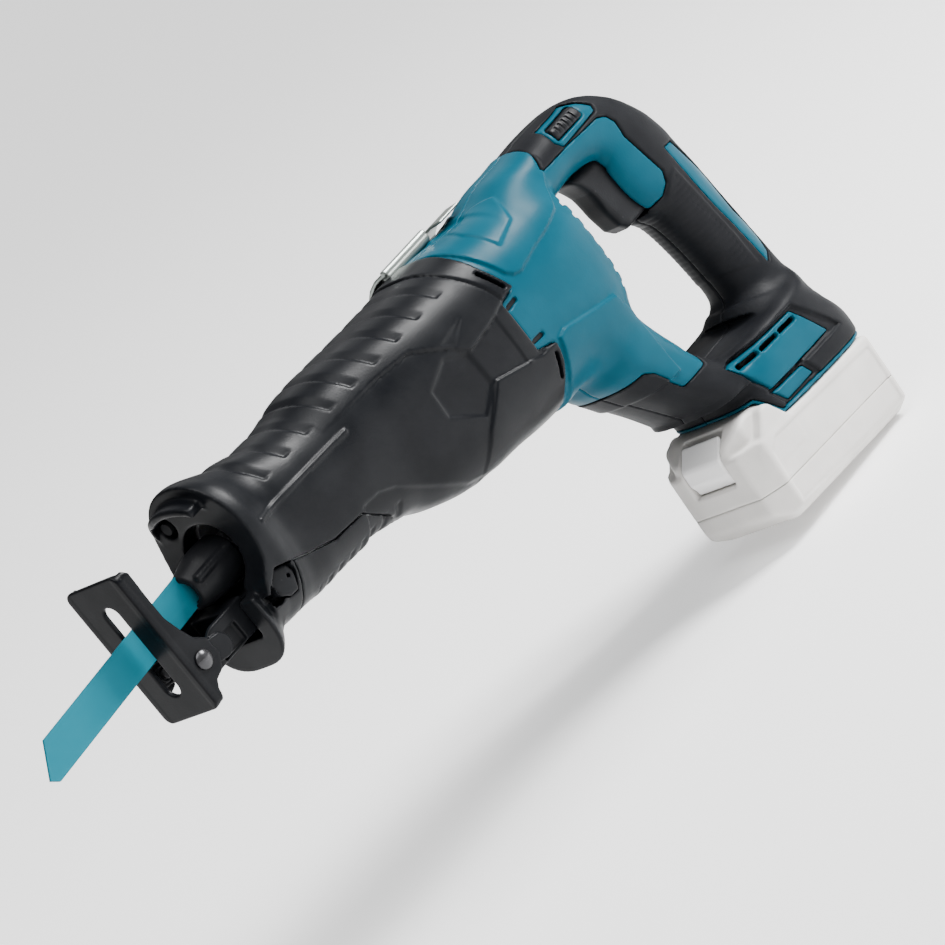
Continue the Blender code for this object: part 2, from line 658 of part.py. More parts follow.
def shoe_plate():
    """Front plate with its blade slot and two ears round the pivot."""
    px, pz = SHOE_PIVOT
    rim = rounded([(-21, -37.5), (21, -37.5), (21, 37), (-21, 37)], 7)
    slot = rounded([(-5, -26), (5, -26), (5, 28), (-5, 28)], 4.4)
    shoe = plate("shoe_plate", [rim, slot], "X", 212.6, 215.6, DARK_STEEL)
    ear = rounded([(213.5, 30), (209.5, 30), (209, 4), (204, -6), (197.5, -12), (196.5, -20),
                   (200, -26.5), (208, -27.5), (210.5, -31), (213.5, -31)], 2)
    for side, low, high in (("left", 18.2, 20.9), ("right", -20.9, -18.2)):
        join(shoe, plate(f"shoe_ear_{side}", [ear], "Y", low, high))
    cut(shoe, cylinder("shoe_bore", (px, -30, pz), (px, 30, pz), 2.7, segments=16))
    settle(shoe)
    set_origin(shoe, (px, 0, pz))


def shoe_lock_button():
    x, z = 147, -19
    button = cylinder("shoe_lock_button", (x, 24, z), (x, 30.6, z), 7.5, BLACK, segments=20,
                      tip_radius=6.8)
    join(button, cylinder("lock_plunger", (x, 16.5, z), (x, 25, z), 3.5, segments=16))
    settle(button)
    set_origin(button, (x, 28, z))


# ---------------------------------------------------------------- controls and hook

def trigger():
    """Paddle trigger with a stem that pushes the switch."""
    face = rounded([(-166, 1), (-166.5, -20), (-169, -36), (-176, -38), (-200, -38), (-200, 3.2),
                    (-170, 3.2)], 3)
    paddle = plate("trigger", [face], "Y", -8.8, 8.8, DARK)
    add_bevel(paddle, 2.0)
    settle(paddle)
    set_origin(paddle, (-183, 0, -17))
    box("switch_block", (-225.5, -9, -35), (-210.5, 9, -15), BLACK, bevel=1.0)
    coil("trigger_spring", (-200.9, 0, -25), (-209.9, 0, -25), 4.0, 0.5, 4, STEEL)


def lock_off():
    slider = box("lock_off_slider", (-184, -18.6, 24), (-160, 18.6, 31), BLACK, bevel=1.0)
    settle(slider)
    set_origin(slider, (-172, 0, 27.5))


def thick_line(centre, half):
    """Closed outline of a strip that follows a line, half the thickness to each side."""
    outer, inner = [], []
    for k, point in enumerate(centre):
        before = Vector(centre[max(k - 1, 0)])
        after = Vector(centre[min(k + 1, len(centre) - 1)])
        along = (after - before).normalized()
        side = Vector((-along.y, along.x)) * half
        outer.append(tuple(Vector(point) + side))
        inner.append(tuple(Vector(point) - side))
    return outer + inner[::-1]


def hook():
    """Folding hook: a bent strip on a pin along the right side."""
    centre = [(-37.0, 16), (-35.2, 23), (-30, 30), (-22, 35), (-11, 37.2)]
    strip = plate("hook", [thick_line(centre, 1.1)], "X", -84, -58, STEEL)
    join(strip, plate("hook_tongue", [thick_line(centre[2:], 1.1)], "X", -60, -51),
         cylinder("hook_knuckle", (-84, -37, 16), (-58, -37, 16), 2.9, segments=16))
    cut(strip, cylinder("hook_bore", (-90, -37, 16), (-40, -37, 16), 1.6, segments=16),
        box("knuckle_gap", (-75, -42, 9), (-67, -33.0, 20.4)))
    settle(strip)
    set_origin(strip, (-71, -37, 16))
    cylinder("hook_pin", (-85, -37, 16), (-57.6, -37, 16), 1.3, STEEL, segments=16)


# ---------------------------------------------------------------- electrics and battery

def electrics():
    box("controller", (-205, -26, -135), (-158, 26, -122.5), BLACK, bevel=1.5)
    box("terminal_block", (-44, -14, 27.4), (4, 14, 30.8), BLACK, to_scene=battery_point)


def battery():
    """Battery pack: two case halves, the cell block and the release button."""
    lower = box("battery_case_lower", (-57.5, -37.5, -29.5), (57.5, 37.5, -2), PALE, bevel=6,
                to_scene=battery_point)
    cut(lower, box("lower_case_trim", (-70, -50, -8), (70, 50, 20), to_scene=battery_point),
        box("lower_case_cavity", (-54.5, -34.5, -26.5), (54.5, 34.5, 10),
            to_scene=battery_point))
    settle(lower)
    upper = box("battery_case_upper", (-57.5, -37.5, -20), (57.5, 37.5, 18), PALE, bevel=5,
                to_scene=battery_point)
    rails = box("battery_rails", (-49.5, -28.6, 10), (25, 28.6, 26.8), to_scene=battery_point)
    nose = box("battery_nose", (20, -30, 0), (56, 30, 31.4), bevel=6, to_scene=battery_point)
    cavity = box("upper_case_cavity", (-54.5, -34.5, -40), (46, 34.5, 15.0),
                 to_scene=battery_point)
    button_room = box("button_room", (40, -15.4, 3.6), (80, 15.4, 23.4), to_scene=battery_point)
    join(upper, rails, nose)
    cut(upper, box("upper_case_trim", (-70, -50, -60), (70, 50, -8 + GAP),
                   to_scene=battery_point), cavity, button_room)
    settle(upper)
    cells = box("battery_cells", (-52, -32.5, -25.5), (39, 32.5, 13.5), DARK, bevel=2,
                to_scene=battery_point)
    settle(cells)
    button = box("battery_button", (46.5, -15, 4), (56.9, 15, 23), BUTTON, bevel=1.5,
                 to_scene=battery_point)
    settle(button)
    set_origin(button, (55, 0, 13), battery_point)
    axle_parts = [lower, upper, cells]
    axle("battery_axis", (BATTERY_ORIGIN[0], 0, BATTERY_ORIGIN[1]), axle_parts)


def build():
    housing_shells()
    housing_screws()
    boot_and_guard()
    gear_housing()
    led_lens()
    crank_train()
    spindle_group()
    clamp_sleeve()
    spindle_supports()
    motor()
    shoe_bracket()
    shoe_plate()
    shoe_lock_button()
    trigger()
    lock_off()
    hook()
    electrics()
    battery()


clear_scene()
PARTS = make_collection("reciprocating_saw")
CUTTERS = make_collection("cutters")
build()
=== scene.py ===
import json
import math

import bmesh
import bpy
import numpy as np
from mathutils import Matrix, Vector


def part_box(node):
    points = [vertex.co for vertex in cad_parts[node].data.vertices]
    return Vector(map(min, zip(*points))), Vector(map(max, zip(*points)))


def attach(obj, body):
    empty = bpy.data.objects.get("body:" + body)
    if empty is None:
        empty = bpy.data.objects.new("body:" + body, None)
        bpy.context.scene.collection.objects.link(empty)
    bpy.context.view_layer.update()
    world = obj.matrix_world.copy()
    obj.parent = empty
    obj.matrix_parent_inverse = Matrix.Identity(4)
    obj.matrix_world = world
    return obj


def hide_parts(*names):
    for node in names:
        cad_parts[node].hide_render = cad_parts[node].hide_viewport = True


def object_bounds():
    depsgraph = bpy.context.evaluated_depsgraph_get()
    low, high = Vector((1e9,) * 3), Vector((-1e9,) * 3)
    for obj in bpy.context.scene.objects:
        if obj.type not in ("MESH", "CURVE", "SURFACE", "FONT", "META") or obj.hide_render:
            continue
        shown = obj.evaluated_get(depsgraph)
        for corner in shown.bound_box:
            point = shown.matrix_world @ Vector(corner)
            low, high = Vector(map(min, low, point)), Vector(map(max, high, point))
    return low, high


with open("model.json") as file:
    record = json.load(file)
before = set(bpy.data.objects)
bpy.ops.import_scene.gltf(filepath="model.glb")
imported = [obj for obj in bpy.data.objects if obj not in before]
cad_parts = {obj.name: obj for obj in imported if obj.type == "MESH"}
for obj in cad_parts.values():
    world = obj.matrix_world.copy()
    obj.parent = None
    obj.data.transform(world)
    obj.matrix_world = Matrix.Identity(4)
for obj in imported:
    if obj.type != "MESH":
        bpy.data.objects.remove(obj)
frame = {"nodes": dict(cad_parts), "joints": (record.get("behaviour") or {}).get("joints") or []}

import openvdb
from mathutils import Matrix, Vector

CAD_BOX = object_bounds()
MM = 0.001

# The design origin is the crank joint's position. Lengths are in mm, X forward along the
# spindle, Y to the tool's left, Z up.
JOINTS = {joint["name"]: joint for joint in frame["joints"]}
ORIGIN = Vector(JOINTS["crank_spin"]["pos_m"])
# Steps of the grids that large and small pieces are worked out on.
VOXEL = 0.8
FINE = 0.42


def place(x, y, z):
    """Design point in mm to the frame in metres."""
    return ORIGIN + Vector((x, y, z)) * MM


def node_box(name):
    """A CAD node's lowest and highest corners, in design mm."""
    low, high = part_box(name)
    return (low - ORIGIN) / MM, (high - ORIGIN) / MM


SPINDLE_LOW, SPINDLE_HIGH = node_box("clamp_pin")
SPINDLE_Z = (SPINDLE_LOW.z + SPINDLE_HIGH.z) / 2
SHOE_PIVOT = (Vector(JOINTS["shoe_tilt"]["pos_m"]) - ORIGIN) / MM
SLIDE_AXIS = Vector(JOINTS["battery_slide"]["axis"])
# Middle of the battery's own frame: X and Z.
BATTERY_MIDDLE = (-172.5, -175.0)
SCREW_COUNT = 6


# ---------------------------------------------------------------- distance fields

class Grid:
    """Regular points in a box, as three arrays that broadcast against each other."""

    def __init__(self, low, high, step):
        self.low, self.step = low, step
        axes = [np.arange(a, b + step, step, dtype=np.float32) for a, b in zip(low, high)]
        self.x = axes[0][:, None, None]
        self.y = axes[1][None, :, None]
        self.z = axes[2][None, None, :]
        self.shape = tuple(len(axis) for axis in axes)


def along(t, xs, ys):
    """Smooth cubic through (xs, ys) at t, level beyond both ends."""
    order = np.argsort(xs)
    xs, ys = np.asarray(xs, float)[order], np.asarray(ys, float)[order]
    slopes = np.gradient(ys, xs)
    t = np.clip(t, xs[0], xs[-1])
    k = np.clip(np.searchsorted(xs, t) - 1, 0, len(xs) - 2)
    width = xs[k + 1] - xs[k]
    s = (t - xs[k]) / width
    value = ((1 + 2 * s) * (1 - s) ** 2 * ys[k] + s * (1 - s) ** 2 * width * slopes[k]
             + s * s * (3 - 2 * s) * ys[k + 1] + s * s * (s - 1) * width * slopes[k + 1])
    return value.astype(np.float32)


def oval(p, q, half_p, half_q, power):
    """About the distance to a superellipse section, negative inside."""
    ratio = ((np.abs(p) / half_p) ** power + (np.abs(q) / half_q) ** power) ** (1 / power)
    reach = np.sqrt(p * p + q * q)
    return reach * (1 - 1 / np.maximum(ratio, 1e-3))


def blend_min(a, b, k):
    """Union with a fillet of about k."""
    h = np.clip(0.5 + 0.5 * (b - a) / k, 0, 1)
    return b + (a - b) * h - k * h * (1 - h)


def blend_max(a, b, k):
    """Intersection with an edge rounded by about k."""
    return -blend_min(-a, -b, k)


def cut(a, b, k=0.8):
    """a without b, with a rounded edge."""
    return blend_max(a, -b, k)


def rise(d, width):
    """1 well inside (negative d), 0 outside, with a smooth ramp of the given width."""
    t = np.clip(0.5 - d / width, 0, 1)
    return t * t * (3 - 2 * t)


def polygon(px, pz, points):
    """Signed distance to a closed outline in the side view, negative inside."""
    best = np.full(np.broadcast(px, pz).shape, 1e9, np.float32)
    inside = np.zeros(best.shape, bool)
    for k, (x1, z1) in enumerate(points):
        x0, z0 = points[k - 1]
        best = np.minimum(best, segment(px, pz, (x0, z0), (x1, z1)))
        if z0 != z1:
            crossing = (z0 > pz) != (z1 > pz)
            inside ^= crossing & (px < (x1 - x0) * (pz - z0) / (z1 - z0) + x0)
    return np.where(inside, -best, best)


def segment(px, pz, a, b):
    """Distance to a straight stretch in the side view."""
    dx, dz = b[0] - a[0], b[1] - a[1]
    t = np.clip(((px - a[0]) * dx + (pz - a[1]) * dz) / (dx * dx + dz * dz), 0, 1)
    return np.sqrt((px - a[0] - t * dx) ** 2 + (pz - a[1] - t * dz) ** 2)


def polyline(px, pz, points):
    """Distance to a bent line."""
    best = segment(px, pz, points[0], points[1])
    for a, b in zip(points[1:], points[2:]):
        best = np.minimum(best, segment(px, pz, a, b))
    return best


def block(g, low, high, radius=0.0):
    """Rounded box between two corners."""
    outside, inside = 0.0, -1e9
    for axis, a, b in zip((g.x, g.y, g.z), low, high):
        d = np.abs(axis - (a + b) / 2) - ((b - a) / 2 - radius)
        outside = outside + np.maximum(d, 0) ** 2
        inside = np.maximum(inside, d)
    return np.sqrt(outside) + np.minimum(inside, 0) - radius


def rod(p, q, t, radius, low, high, k=0.6):
    """Round bar of the given radius about p = q = 0, between two values of t."""
    return blend_max(np.sqrt(p * p + q * q) - radius, np.maximum(low - t, t - high), k)


# ---------------------------------------------------------------- mesh and material helpers

SHARP_EDGE = math.radians(42)
CRUMB_POINTS = 60
RELAX_ROUNDS = 2
RELAX_WEIGHTS = (0.5, -0.48)


def skin(name, g, field, finish, bend=None):
    """Closed smooth mesh of the field's zero surface, moved into place by bend if given."""
    grid = openvdb.FloatGrid()
    grid.copyFromArray(np.array(np.broadcast_to(field, g.shape), dtype=np.float32, order="C"))
    points, quads = grid.convertToQuads(isovalue=0.0)
    points = np.asarray(points, float)
    for _ in range(RELAX_ROUNDS):
        points = relaxed(points, quads)
    points = points * g.step + np.asarray(g.low)
    if bend:
        points = bend(points)
    mesh = bpy.data.meshes.new(name)
    mesh.from_pydata((np.asarray(ORIGIN) + points * MM).tolist(), [], quads.tolist())
    bm = bmesh.new()
    bm.from_mesh(mesh)
    keep_largest(bm)
    if bm.calc_volume(signed=True) < 0:
        bmesh.ops.reverse_faces(bm, faces=bm.faces)
    bm.to_mesh(mesh)
    bm.free()
    return add_piece(name, mesh, finish)


def relaxed(points, quads):
    """Move every point half way to the mean of its neighbours, then partly back."""
    result = points
    for weight in RELAX_WEIGHTS:
        total = np.zeros_like(result)
        count = np.zeros(len(result))
        for k in range(4):
            a, b = quads[:, k], quads[:, (k + 1) % 4]
            for axis in range(3):
                total[:, axis] += np.bincount(a, result[b, axis], len(result))
            count += np.bincount(a, minlength=len(result))
        mean = total / np.maximum(count, 1)[:, None]
        result = result + weight * (mean - result)
    return result


def keep_largest(bm):
    """Delete crumbs that are not joined to the main surface, keeping inner walls."""
    unseen = set(bm.verts)
    crumbs = []
    while unseen:
        stack = [unseen.pop()]
        island = list(stack)
        while stack:
            for edge in stack.pop().link_edges:
                for vert in edge.verts:
                    if vert in unseen:
                        unseen.remove(vert)
                        stack.append(vert)
                        island.append(vert)
        if len(island) < CRUMB_POINTS:
            crumbs += island
    if crumbs and len(crumbs) < len(bm.verts):
        bmesh.ops.delete(bm, geom=crumbs, context="VERTS")


def add_piece(name, mesh, finish):
    """Object of the mesh, smooth but for its sharp edges, in one material."""
    mesh.shade_smooth()
    mesh.set_sharp_from_angle(angle=SHARP_EDGE)
    obj = bpy.data.objects.new(name, mesh)
    bpy.context.scene.collection.objects.link(obj)
    mesh.materials.clear()
    mesh.materials.append(finish)
    return obj


def finish_piece(obj, body, slot, *nodes):
    """Put a piece on its moving body and in place of its CAD nodes; slot is not used."""
    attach(obj, body)
    if nodes:
        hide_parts(*nodes)


# Noise scales per metre, and where on the Pointiness scale an edge starts and ends.
MOTTLE_SCALE, GLOSS_SCALE = 38.0, 55.0
EDGE_FROM, EDGE_TO = 0.53, 0.60
BUMP_HEIGHT = 0.00012
COAT_ROUGHNESS = 0.25


def moulded(name, color, roughness, grain=0.35, grain_scale=900.0, metallic=0.0, mottle=0.06,
            wear=0.25, coat=0.0, streak=0.0, shine=0.32):
    """Moulded or coated surface: fine grain, uneven gloss, faint mottling and worn edges."""
    material = bpy.data.materials.new(name)
    material.use_nodes = True
    nodes, links = material.node_tree.nodes, material.node_tree.links
    shader = nodes["Principled BSDF"]
    shader.inputs["Metallic"].default_value = metallic
    shader.inputs["Coat Weight"].default_value = coat
    shader.inputs["Coat Roughness"].default_value = COAT_ROUGHNESS
    shader.inputs["Specular IOR Level"].default_value = shine
    place_node = nodes.new("ShaderNodeTexCoord")

    def noise(scale, detail=3.0):
        node = nodes.new("ShaderNodeTexNoise")
        node.inputs["Scale"].default_value = scale
        node.inputs["Detail"].default_value = detail
        links.new(place_node.outputs["Object"], node.inputs["Vector"])
        return node.outputs["Fac"]

    def remap(source, low, high, to_low, to_high):
        node = nodes.new("ShaderNodeMapRange")
        for key, value in (("From Min", low), ("From Max", high), ("To Min", to_low),
                           ("To Max", to_high)):
            node.inputs[key].default_value = value
        links.new(source, node.inputs["Value"])
        return node.outputs["Result"]

    def mix(factor, a, b):
        node = nodes.new("ShaderNodeMix")
        node.data_type = "RGBA"
        links.new(factor, node.inputs["Factor"])
        for socket, value in ((node.inputs[6], a), (node.inputs[7], b)):
            if isinstance(value, tuple):
                socket.default_value = (*value, 1.0)
            else:
                links.new(value, socket)
        return node.outputs[2]

    darker = tuple(c * (1 - mottle) for c in color)
    lighter = tuple(min(1.0, c * (1 + mottle) + 0.004) for c in color)
    base = mix(remap(noise(MOTTLE_SCALE, 4.0), 0.35, 0.65, 0.0, 1.0), darker, lighter)
    geometry = nodes.new("ShaderNodeNewGeometry")
    edge = remap(geometry.outputs["Pointiness"], EDGE_FROM, EDGE_TO, 0.0, wear)
    worn = tuple(min(1.0, c * 1.35 + 0.03) for c in color)
    base = mix(edge, base, worn)
    links.new(base, shader.inputs["Base Color"])
    gloss = remap(noise(GLOSS_SCALE, 5.0), 0.3, 0.7, roughness - 0.05, roughness + 0.06)
    links.new(gloss, shader.inputs["Roughness"])
    bump = nodes.new("ShaderNodeBump")
    bump.inputs["Strength"].default_value = grain
    bump.inputs["Distance"].default_value = BUMP_HEIGHT
    height = noise(grain_scale, 2.0)
    if streak:
        stretch = nodes.new("ShaderNodeMapping")
        stretch.inputs["Scale"].default_value = (streak, 1.0, 1.0)
        links.new(place_node.outputs["Object"], stretch.inputs["Vector"])
        links.new(stretch.outputs["Vector"], height.node.inputs["Vector"])
    links.new(height, bump.inputs["Height"])
    links.new(bump.outputs["Normal"], shader.inputs["Normal"])
    return material


TEAL = moulded("teal_plastic", (0.0, 0.058, 0.09), 0.36, grain=0.3, shine=0.07)
DARK = moulded("dark_elastomer", (0.005, 0.0055, 0.007), 0.5, grain=0.6, grain_scale=1300.0,
               shine=0.08)
RUBBER = moulded("boot_rubber", (0.003, 0.0036, 0.005), 0.38, grain=0.3, grain_scale=1100.0,
                 shine=0.11)
TRIGGER = moulded("trigger_plastic", (0.006, 0.0066, 0.0082), 0.45, grain=0.4, shine=0.13)
BLACK = moulded("black_plastic", (0.006, 0.0065, 0.008), 0.40, grain=0.4, shine=0.12)
STEEL = moulded("machined_steel", (0.42, 0.43, 0.43), 0.3, metallic=1.0, grain=0.25, streak=0.08)
DARK_STEEL = moulded("coated_steel", (0.0025, 0.003, 0.0042), 0.34, grain=0.2, coat=0.03,
                     shine=0.08)
CAST = moulded("cast_alloy", (0.5, 0.51, 0.52), 0.48, metallic=0.9, grain=0.8, grain_scale=500.0)
BRONZE = moulded("bronze", (0.48, 0.31, 0.14), 0.4, metallic=0.9)
COPPER = moulded("copper_wire", (0.6, 0.26, 0.12), 0.35, metallic=1.0, streak=0.1)
BLADE = moulded("blade_coating", (0.0, 0.13, 0.18), 0.38, grain=0.15, mottle=0.03, streak=0.1,
                shine=0.04)
PALE = moulded("pale_plastic", (0.66, 0.64, 0.615), 0.5, grain=0.5)
BUTTON = moulded("button_plastic", (0.97, 0.96, 0.955), 0.42, grain=0.3, mottle=0.01)
RIVET = moulded("rivet_steel", (0.05, 0.05, 0.053), 0.28, metallic=0.6, grain=0.2)
# The lamp lens is near black as painted shade: its colour stands for the shadow in the lamp's
# recess under the hood.
SHADED_LENS = moulded("lamp_lens", (0.002, 0.0025, 0.0035), 0.4, grain=0.1, shine=0.03)
HOOK = moulded("hook_steel", (0.30, 0.33, 0.31), 0.35, metallic=0.75, grain=0.2, streak=0.2)


# ---------------------------------------------------------------- housing and grip

# Sections along X: level of the middle, half-height, half-width, squareness.
BARREL_X = (-57.4, -75, -100, -118, -130)
BARREL = {"z": (-20, -20.7, -21.8, -21.5, -21), "h": (50.5, 49.3, 48.2, 45.5, 41),
          "w": (40, 39.5, 38, 35, 31), "n": (2.6, 2.6, 2.8, 3, 3)}
# Handle centre line: x, z, half-depth in the plane of the tool, half-width across.
HANDLE = [(-100, 13.5, 15, 24), (-114, 17, 16.2, 23), (-132, 17.6, 16.2, 22),
          (-160, 19.5, 16, 19.5), (-184, 16, 18, 18.5), (-196.5, 6, 21.5, 18),
          (-202.8, -8, 25.7, 18), (-206.5, -24, 26.5, 18), (-212.7, -42, 21.7, 17.5),
          (-216.2, -64, 19.7, 17), (-218.8, -90, 19.5, 17), (-219, -104, 19.8, 18.5),
          (-217, -114, 22, 23), (-213, -122, 26, 28)]
# Sections by height: place along X, half-depth, half-width, and the foot's squareness.
BRIDGE_Z = (-50, -72, -82, -92, -101, -110, -127)
BRIDGE = {"x": (-100, -109.5, -113.2, -119.4, -124.5, -131.5, -146),
          "a": (26, 21.5, 22.3, 20.8, 18.8, 18.3, 19), "b": (32, 30, 29, 28, 28.3, 29, 33)}
FOOT_Z = (-106, -114, -125, -147, -168)
FOOT = {"x": (-204, -194, -189, -188.5, -187.5), "a": (34, 42, 45.5, 51.5, 50.5),
        "b": (22, 32, 36, 37, 37), "n": (3, 2.7, 3, 4.2, 4.2)}
BARREL_REAR = -131
BRIDGE_TOP, BRIDGE_BOTTOM = -50, -130
FOOT_TOP = -116
HANDLE_POWER, BRIDGE_POWER = 2.5, 3.0
SHELL_WALL = 4.0
# Half of the gap between the two halves, and between the coloured and dark pieces.
PARTING = 0.12
SEAM = 0.15

# Where the boot ends and the coloured shell begins, in the side view.
BOOT_SIDE = [(200, 80), (-50, 80), (-50, 27), (-53, 13.5), (-59, -3), (-47, -5), (-47, -34),
             (-59.5, -38), (-58.5, -47), (-54, -59), (-52, -80), (200, -80)]

# Outlines in the side view, the same on both sides.
DARK_REGION = [(-142, 60), (-142, 36), (-140, 30), (-135, 22), (-138, 20), (-163, 19),
               (-190, 17.5), (-196, 14.5), (-199, 9), (-198, 0), (-204.5, -27), (-202, -33),
               (-196, -37), (-160, -39), (-160, -98), (-141, -100), (-138, -108),
               (-119, -108), (-115, -102.5), (-107.5, -91), (-102, -87), (-84, -88.5),
               (-77, -85), (-60, -82), (-60, -230), (-280, -230), (-280, 60)]
LOCK_FRAME = [(-157.5, 33.6), (-183.5, 33.4), (-189.5, 29.5), (-194.5, 23.5), (-192.5, 20.3),
              (-160, 19.8), (-156, 25)]
ACCENT = [(-215.5, -19.5), (-217.6, -44.5), (-219.6, -60), (-222.4, -75), (-224.3, -90),
          (-225, -102.5), (-231, -99), (-234.4, -90), (-234, -81), (-230.6, -70),
          (-231, -56), (-230.6, -44), (-223.5, -20.5)]
GRIP_PANEL = [(-207, -31), (-196, -39), (-180, -42), (-180, -92), (-199, -90), (-219, -98),
              (-218.5, -80), (-215, -52), (-211.5, -30)]
FOOT_RECESS = [(-144.5, -117), (-203, -120.5), (-222, -147.5), (-156.5, -144)]
FOOT_BADGE = [(-147.5, -119), (-200.5, -122.5), (-213, -145), (-158, -142.3)]
FOOT_VENTS = [((-153.5, -123.3), (-166, -124.2)), ((-170, -124.5), (-182.5, -125.3)),
              ((-186.5, -125.6), (-198.5, -126.5))]
SMALL_RECESS = [(-153.5, -141.6), (-185, -144), (-190, -155), (-159, -154)]
SMALL_BADGE = [(-157, -143.8), (-183, -146), (-186.5, -153.2), (-162, -152.2)]
UPPER_PANEL = [(-40, 70), (-46, 52), (-50.5, 36), (-56.5, 19.5), (-62.5, 4), (-66, 0.5),
               (-71, -1), (-89, 2), (-102, 3), (-118, 6), (-135, 19), (-140, 26), (-142, 70)]
# This one is drawn around the barrel: x, and degrees up from the horizontal.
HEXAGON = [(-71, 67), (-74, 44), (-93, 50), (-103, 69), (-96, 82), (-75, 82)]
MM_PER_DEGREE = 0.75
BARREL_AXIS_Z, HEXAGON_HEIGHT = -18.5, 0.9
LOWER_PANEL = [(-63.5, -38), (-69, -36.5), (-112, -46), (-119, -60), (-122, -100), (-61, -100),
               (-58, -59)]
HOUSING_SLOTS = [((-56, -8.2), (-49.5, -8.8)), ((-56, -30.2), (-49.5, -29.8))]
SLOT_HALF, FOOT_VENT_HALF = 1.4, 1.5
VENT_LEVELS = [3.5 - 8.6 * k for k in range(8)]
VENT_X, VENT_HALF_X, VENT_HALF_Y, VENT_HALF_Z = -134, 8, 31, 1.6
TRIGGER_WINDOW = ((-209, -9.6, -38.8), (-150, 9.6, 4.2))
LOCK_OFF_WINDOW = ((-184.6, -40, 23.4), (-159.4, 40, 31.6))
# Raised and sunk areas: outline, height above the plain form, width of the slope round it.
HOUSING_AREAS = [(UPPER_PANEL, 1.5, 1.5), (LOWER_PANEL, 2.0, 1.6), (GRIP_PANEL, 0.5, 1.0),
                 (FOOT_RECESS, -2.4, 1.4), (FOOT_BADGE, 1.0, 1.2), (SMALL_RECESS, -1.8, 1.2),
                 (SMALL_BADGE, 0.8, 1.0)]
RIB_PITCH, RIB_HALF, RIB_DEPTH = 3.2, 0.5, 0.25
# Levels above the battery's middle: underside and top of the foot's sole plate, roof of the
# rail slot, and roof of the room in front. Then the slant at the rear of that room.
FOOT_SOLE, PLATE_TOP, RAIL_ROOF, NOSE_ROOF = 18.6, 21.5, 31.2, 32.1
NOSE_SLANT, NOSE_REAR = 0.72, 19.4
RAIL_HALF_Y, RAIL_REAR = 29.4, -51
SOLE_BAND = 2.0
SCREW_HEAD_R = 3.7


def areas_relief(g, areas):
    """Sum of the raised and sunk areas of a side-view list."""
    return sum(height * rise(polygon(g.x, g.z, outline), slope)
               for outline, height, slope in areas)


def handle_frame(g):
    """For each side-view point: offset from the handle's centre line and the sizes there."""
    rows = np.array(HANDLE, float)
    t = np.arange(len(rows), dtype=float)
    fine = np.linspace(0, len(rows) - 1, 160)
    x, z, a, b = (along(fine, t, rows[:, k]) for k in range(4))
    tx, tz = np.gradient(x), np.gradient(z)
    spacing = np.hypot(tx, tz)
    tx, tz = tx / spacing, tz / spacing
    px, pz = np.broadcast_arrays(g.x[:, 0, :], g.z[0, :, :])
    best = np.full(px.shape, 1e9, np.float32)
    pick = np.zeros(px.shape, int)
    for k in range(len(fine)):
        d = (px - x[k]) ** 2 + (pz - z[k]) ** 2
        pick = np.where(d < best, k, pick)
        best = np.minimum(d, best)
    dx, dz = px - x[pick], pz - z[pick]
    lengthwise = dx * tx[pick] + dz * tz[pick]
    side = dz * tx[pick] - dx * tz[pick]
    sample = np.clip(pick + np.clip(lengthwise / spacing[pick], -1, 1), 0, len(fine) - 1)
    half_a = np.interp(sample, np.arange(len(fine)), a)
    half_b = np.interp(sample, np.arange(len(fine)), b)
    at_end = (pick == 0) | (pick == len(fine) - 1)
    beyond = np.where(at_end, np.abs(lengthwise), -1e3)
    return tuple(v[:, None, :].astype(np.float32) for v in (side, half_a, half_b, beyond))


def sections(t, places, sizes):
    """Each named size of a set of sections, read at t."""
    return {key: along(t, places, sizes[key]) for key in sizes}


def housing_field(g):
    """Outer form of the whole housing: barrel, handle loop, bridge and foot."""
    s = sections(g.x, BARREL_X, BARREL)
    barrel = oval(g.z - s["z"], g.y, s["h"], s["w"], s["n"])
    barrel = blend_max(barrel, BARREL_REAR - g.x, 6)
    side, half_a, half_b, beyond = handle_frame(g)
    handle = np.maximum(oval(side, g.y, half_a, half_b, HANDLE_POWER), beyond)
    s = sections(g.z, BRIDGE_Z, BRIDGE)
    bridge = oval(g.x - s["x"], g.y, s["a"], s["b"], BRIDGE_POWER)
    bridge = np.maximum(bridge, np.maximum(g.z - BRIDGE_TOP, BRIDGE_BOTTOM - g.z))
    s = sections(g.z, FOOT_Z, FOOT)
    foot = oval(g.x - s["x"], g.y, s["a"], s["b"], s["n"])
    foot = blend_max(foot, g.z - FOOT_TOP, 5)
    return blend_min(blend_min(blend_min(barrel, handle, 7), bridge, 8), foot, 7)


def battery_axes(x, z):
    """Side-view coordinates along and square to the battery's rails."""
    c, s = SLIDE_AXIS.x, SLIDE_AXIS.z
    dx, dz = x - BATTERY_MIDDLE[0], z - BATTERY_MIDDLE[1]
    return dx * c + dz * s, dz * c - dx * s


def battery_room(g):
    """Space under the foot and in front of it that the battery's case fills."""
    u, w = battery_axes(g.x, g.z)
    rear = NOSE_REAR + NOSE_SLANT * (w - FOOT_SOLE) - u
    return np.minimum(np.maximum(rear, w - NOSE_ROOF), w - FOOT_SOLE)


def dark_field(g):
    """Side-view distance field of the dark overmoulded areas."""
    dark = polygon(g.x, g.z, DARK_REGION)
    for outline in (LOCK_FRAME, ACCENT, FOOT_BADGE, SMALL_BADGE):
        dark = np.maximum(dark, -polygon(g.x, g.z, outline))
    return np.maximum(dark, SOLE_BAND - battery_room(g))


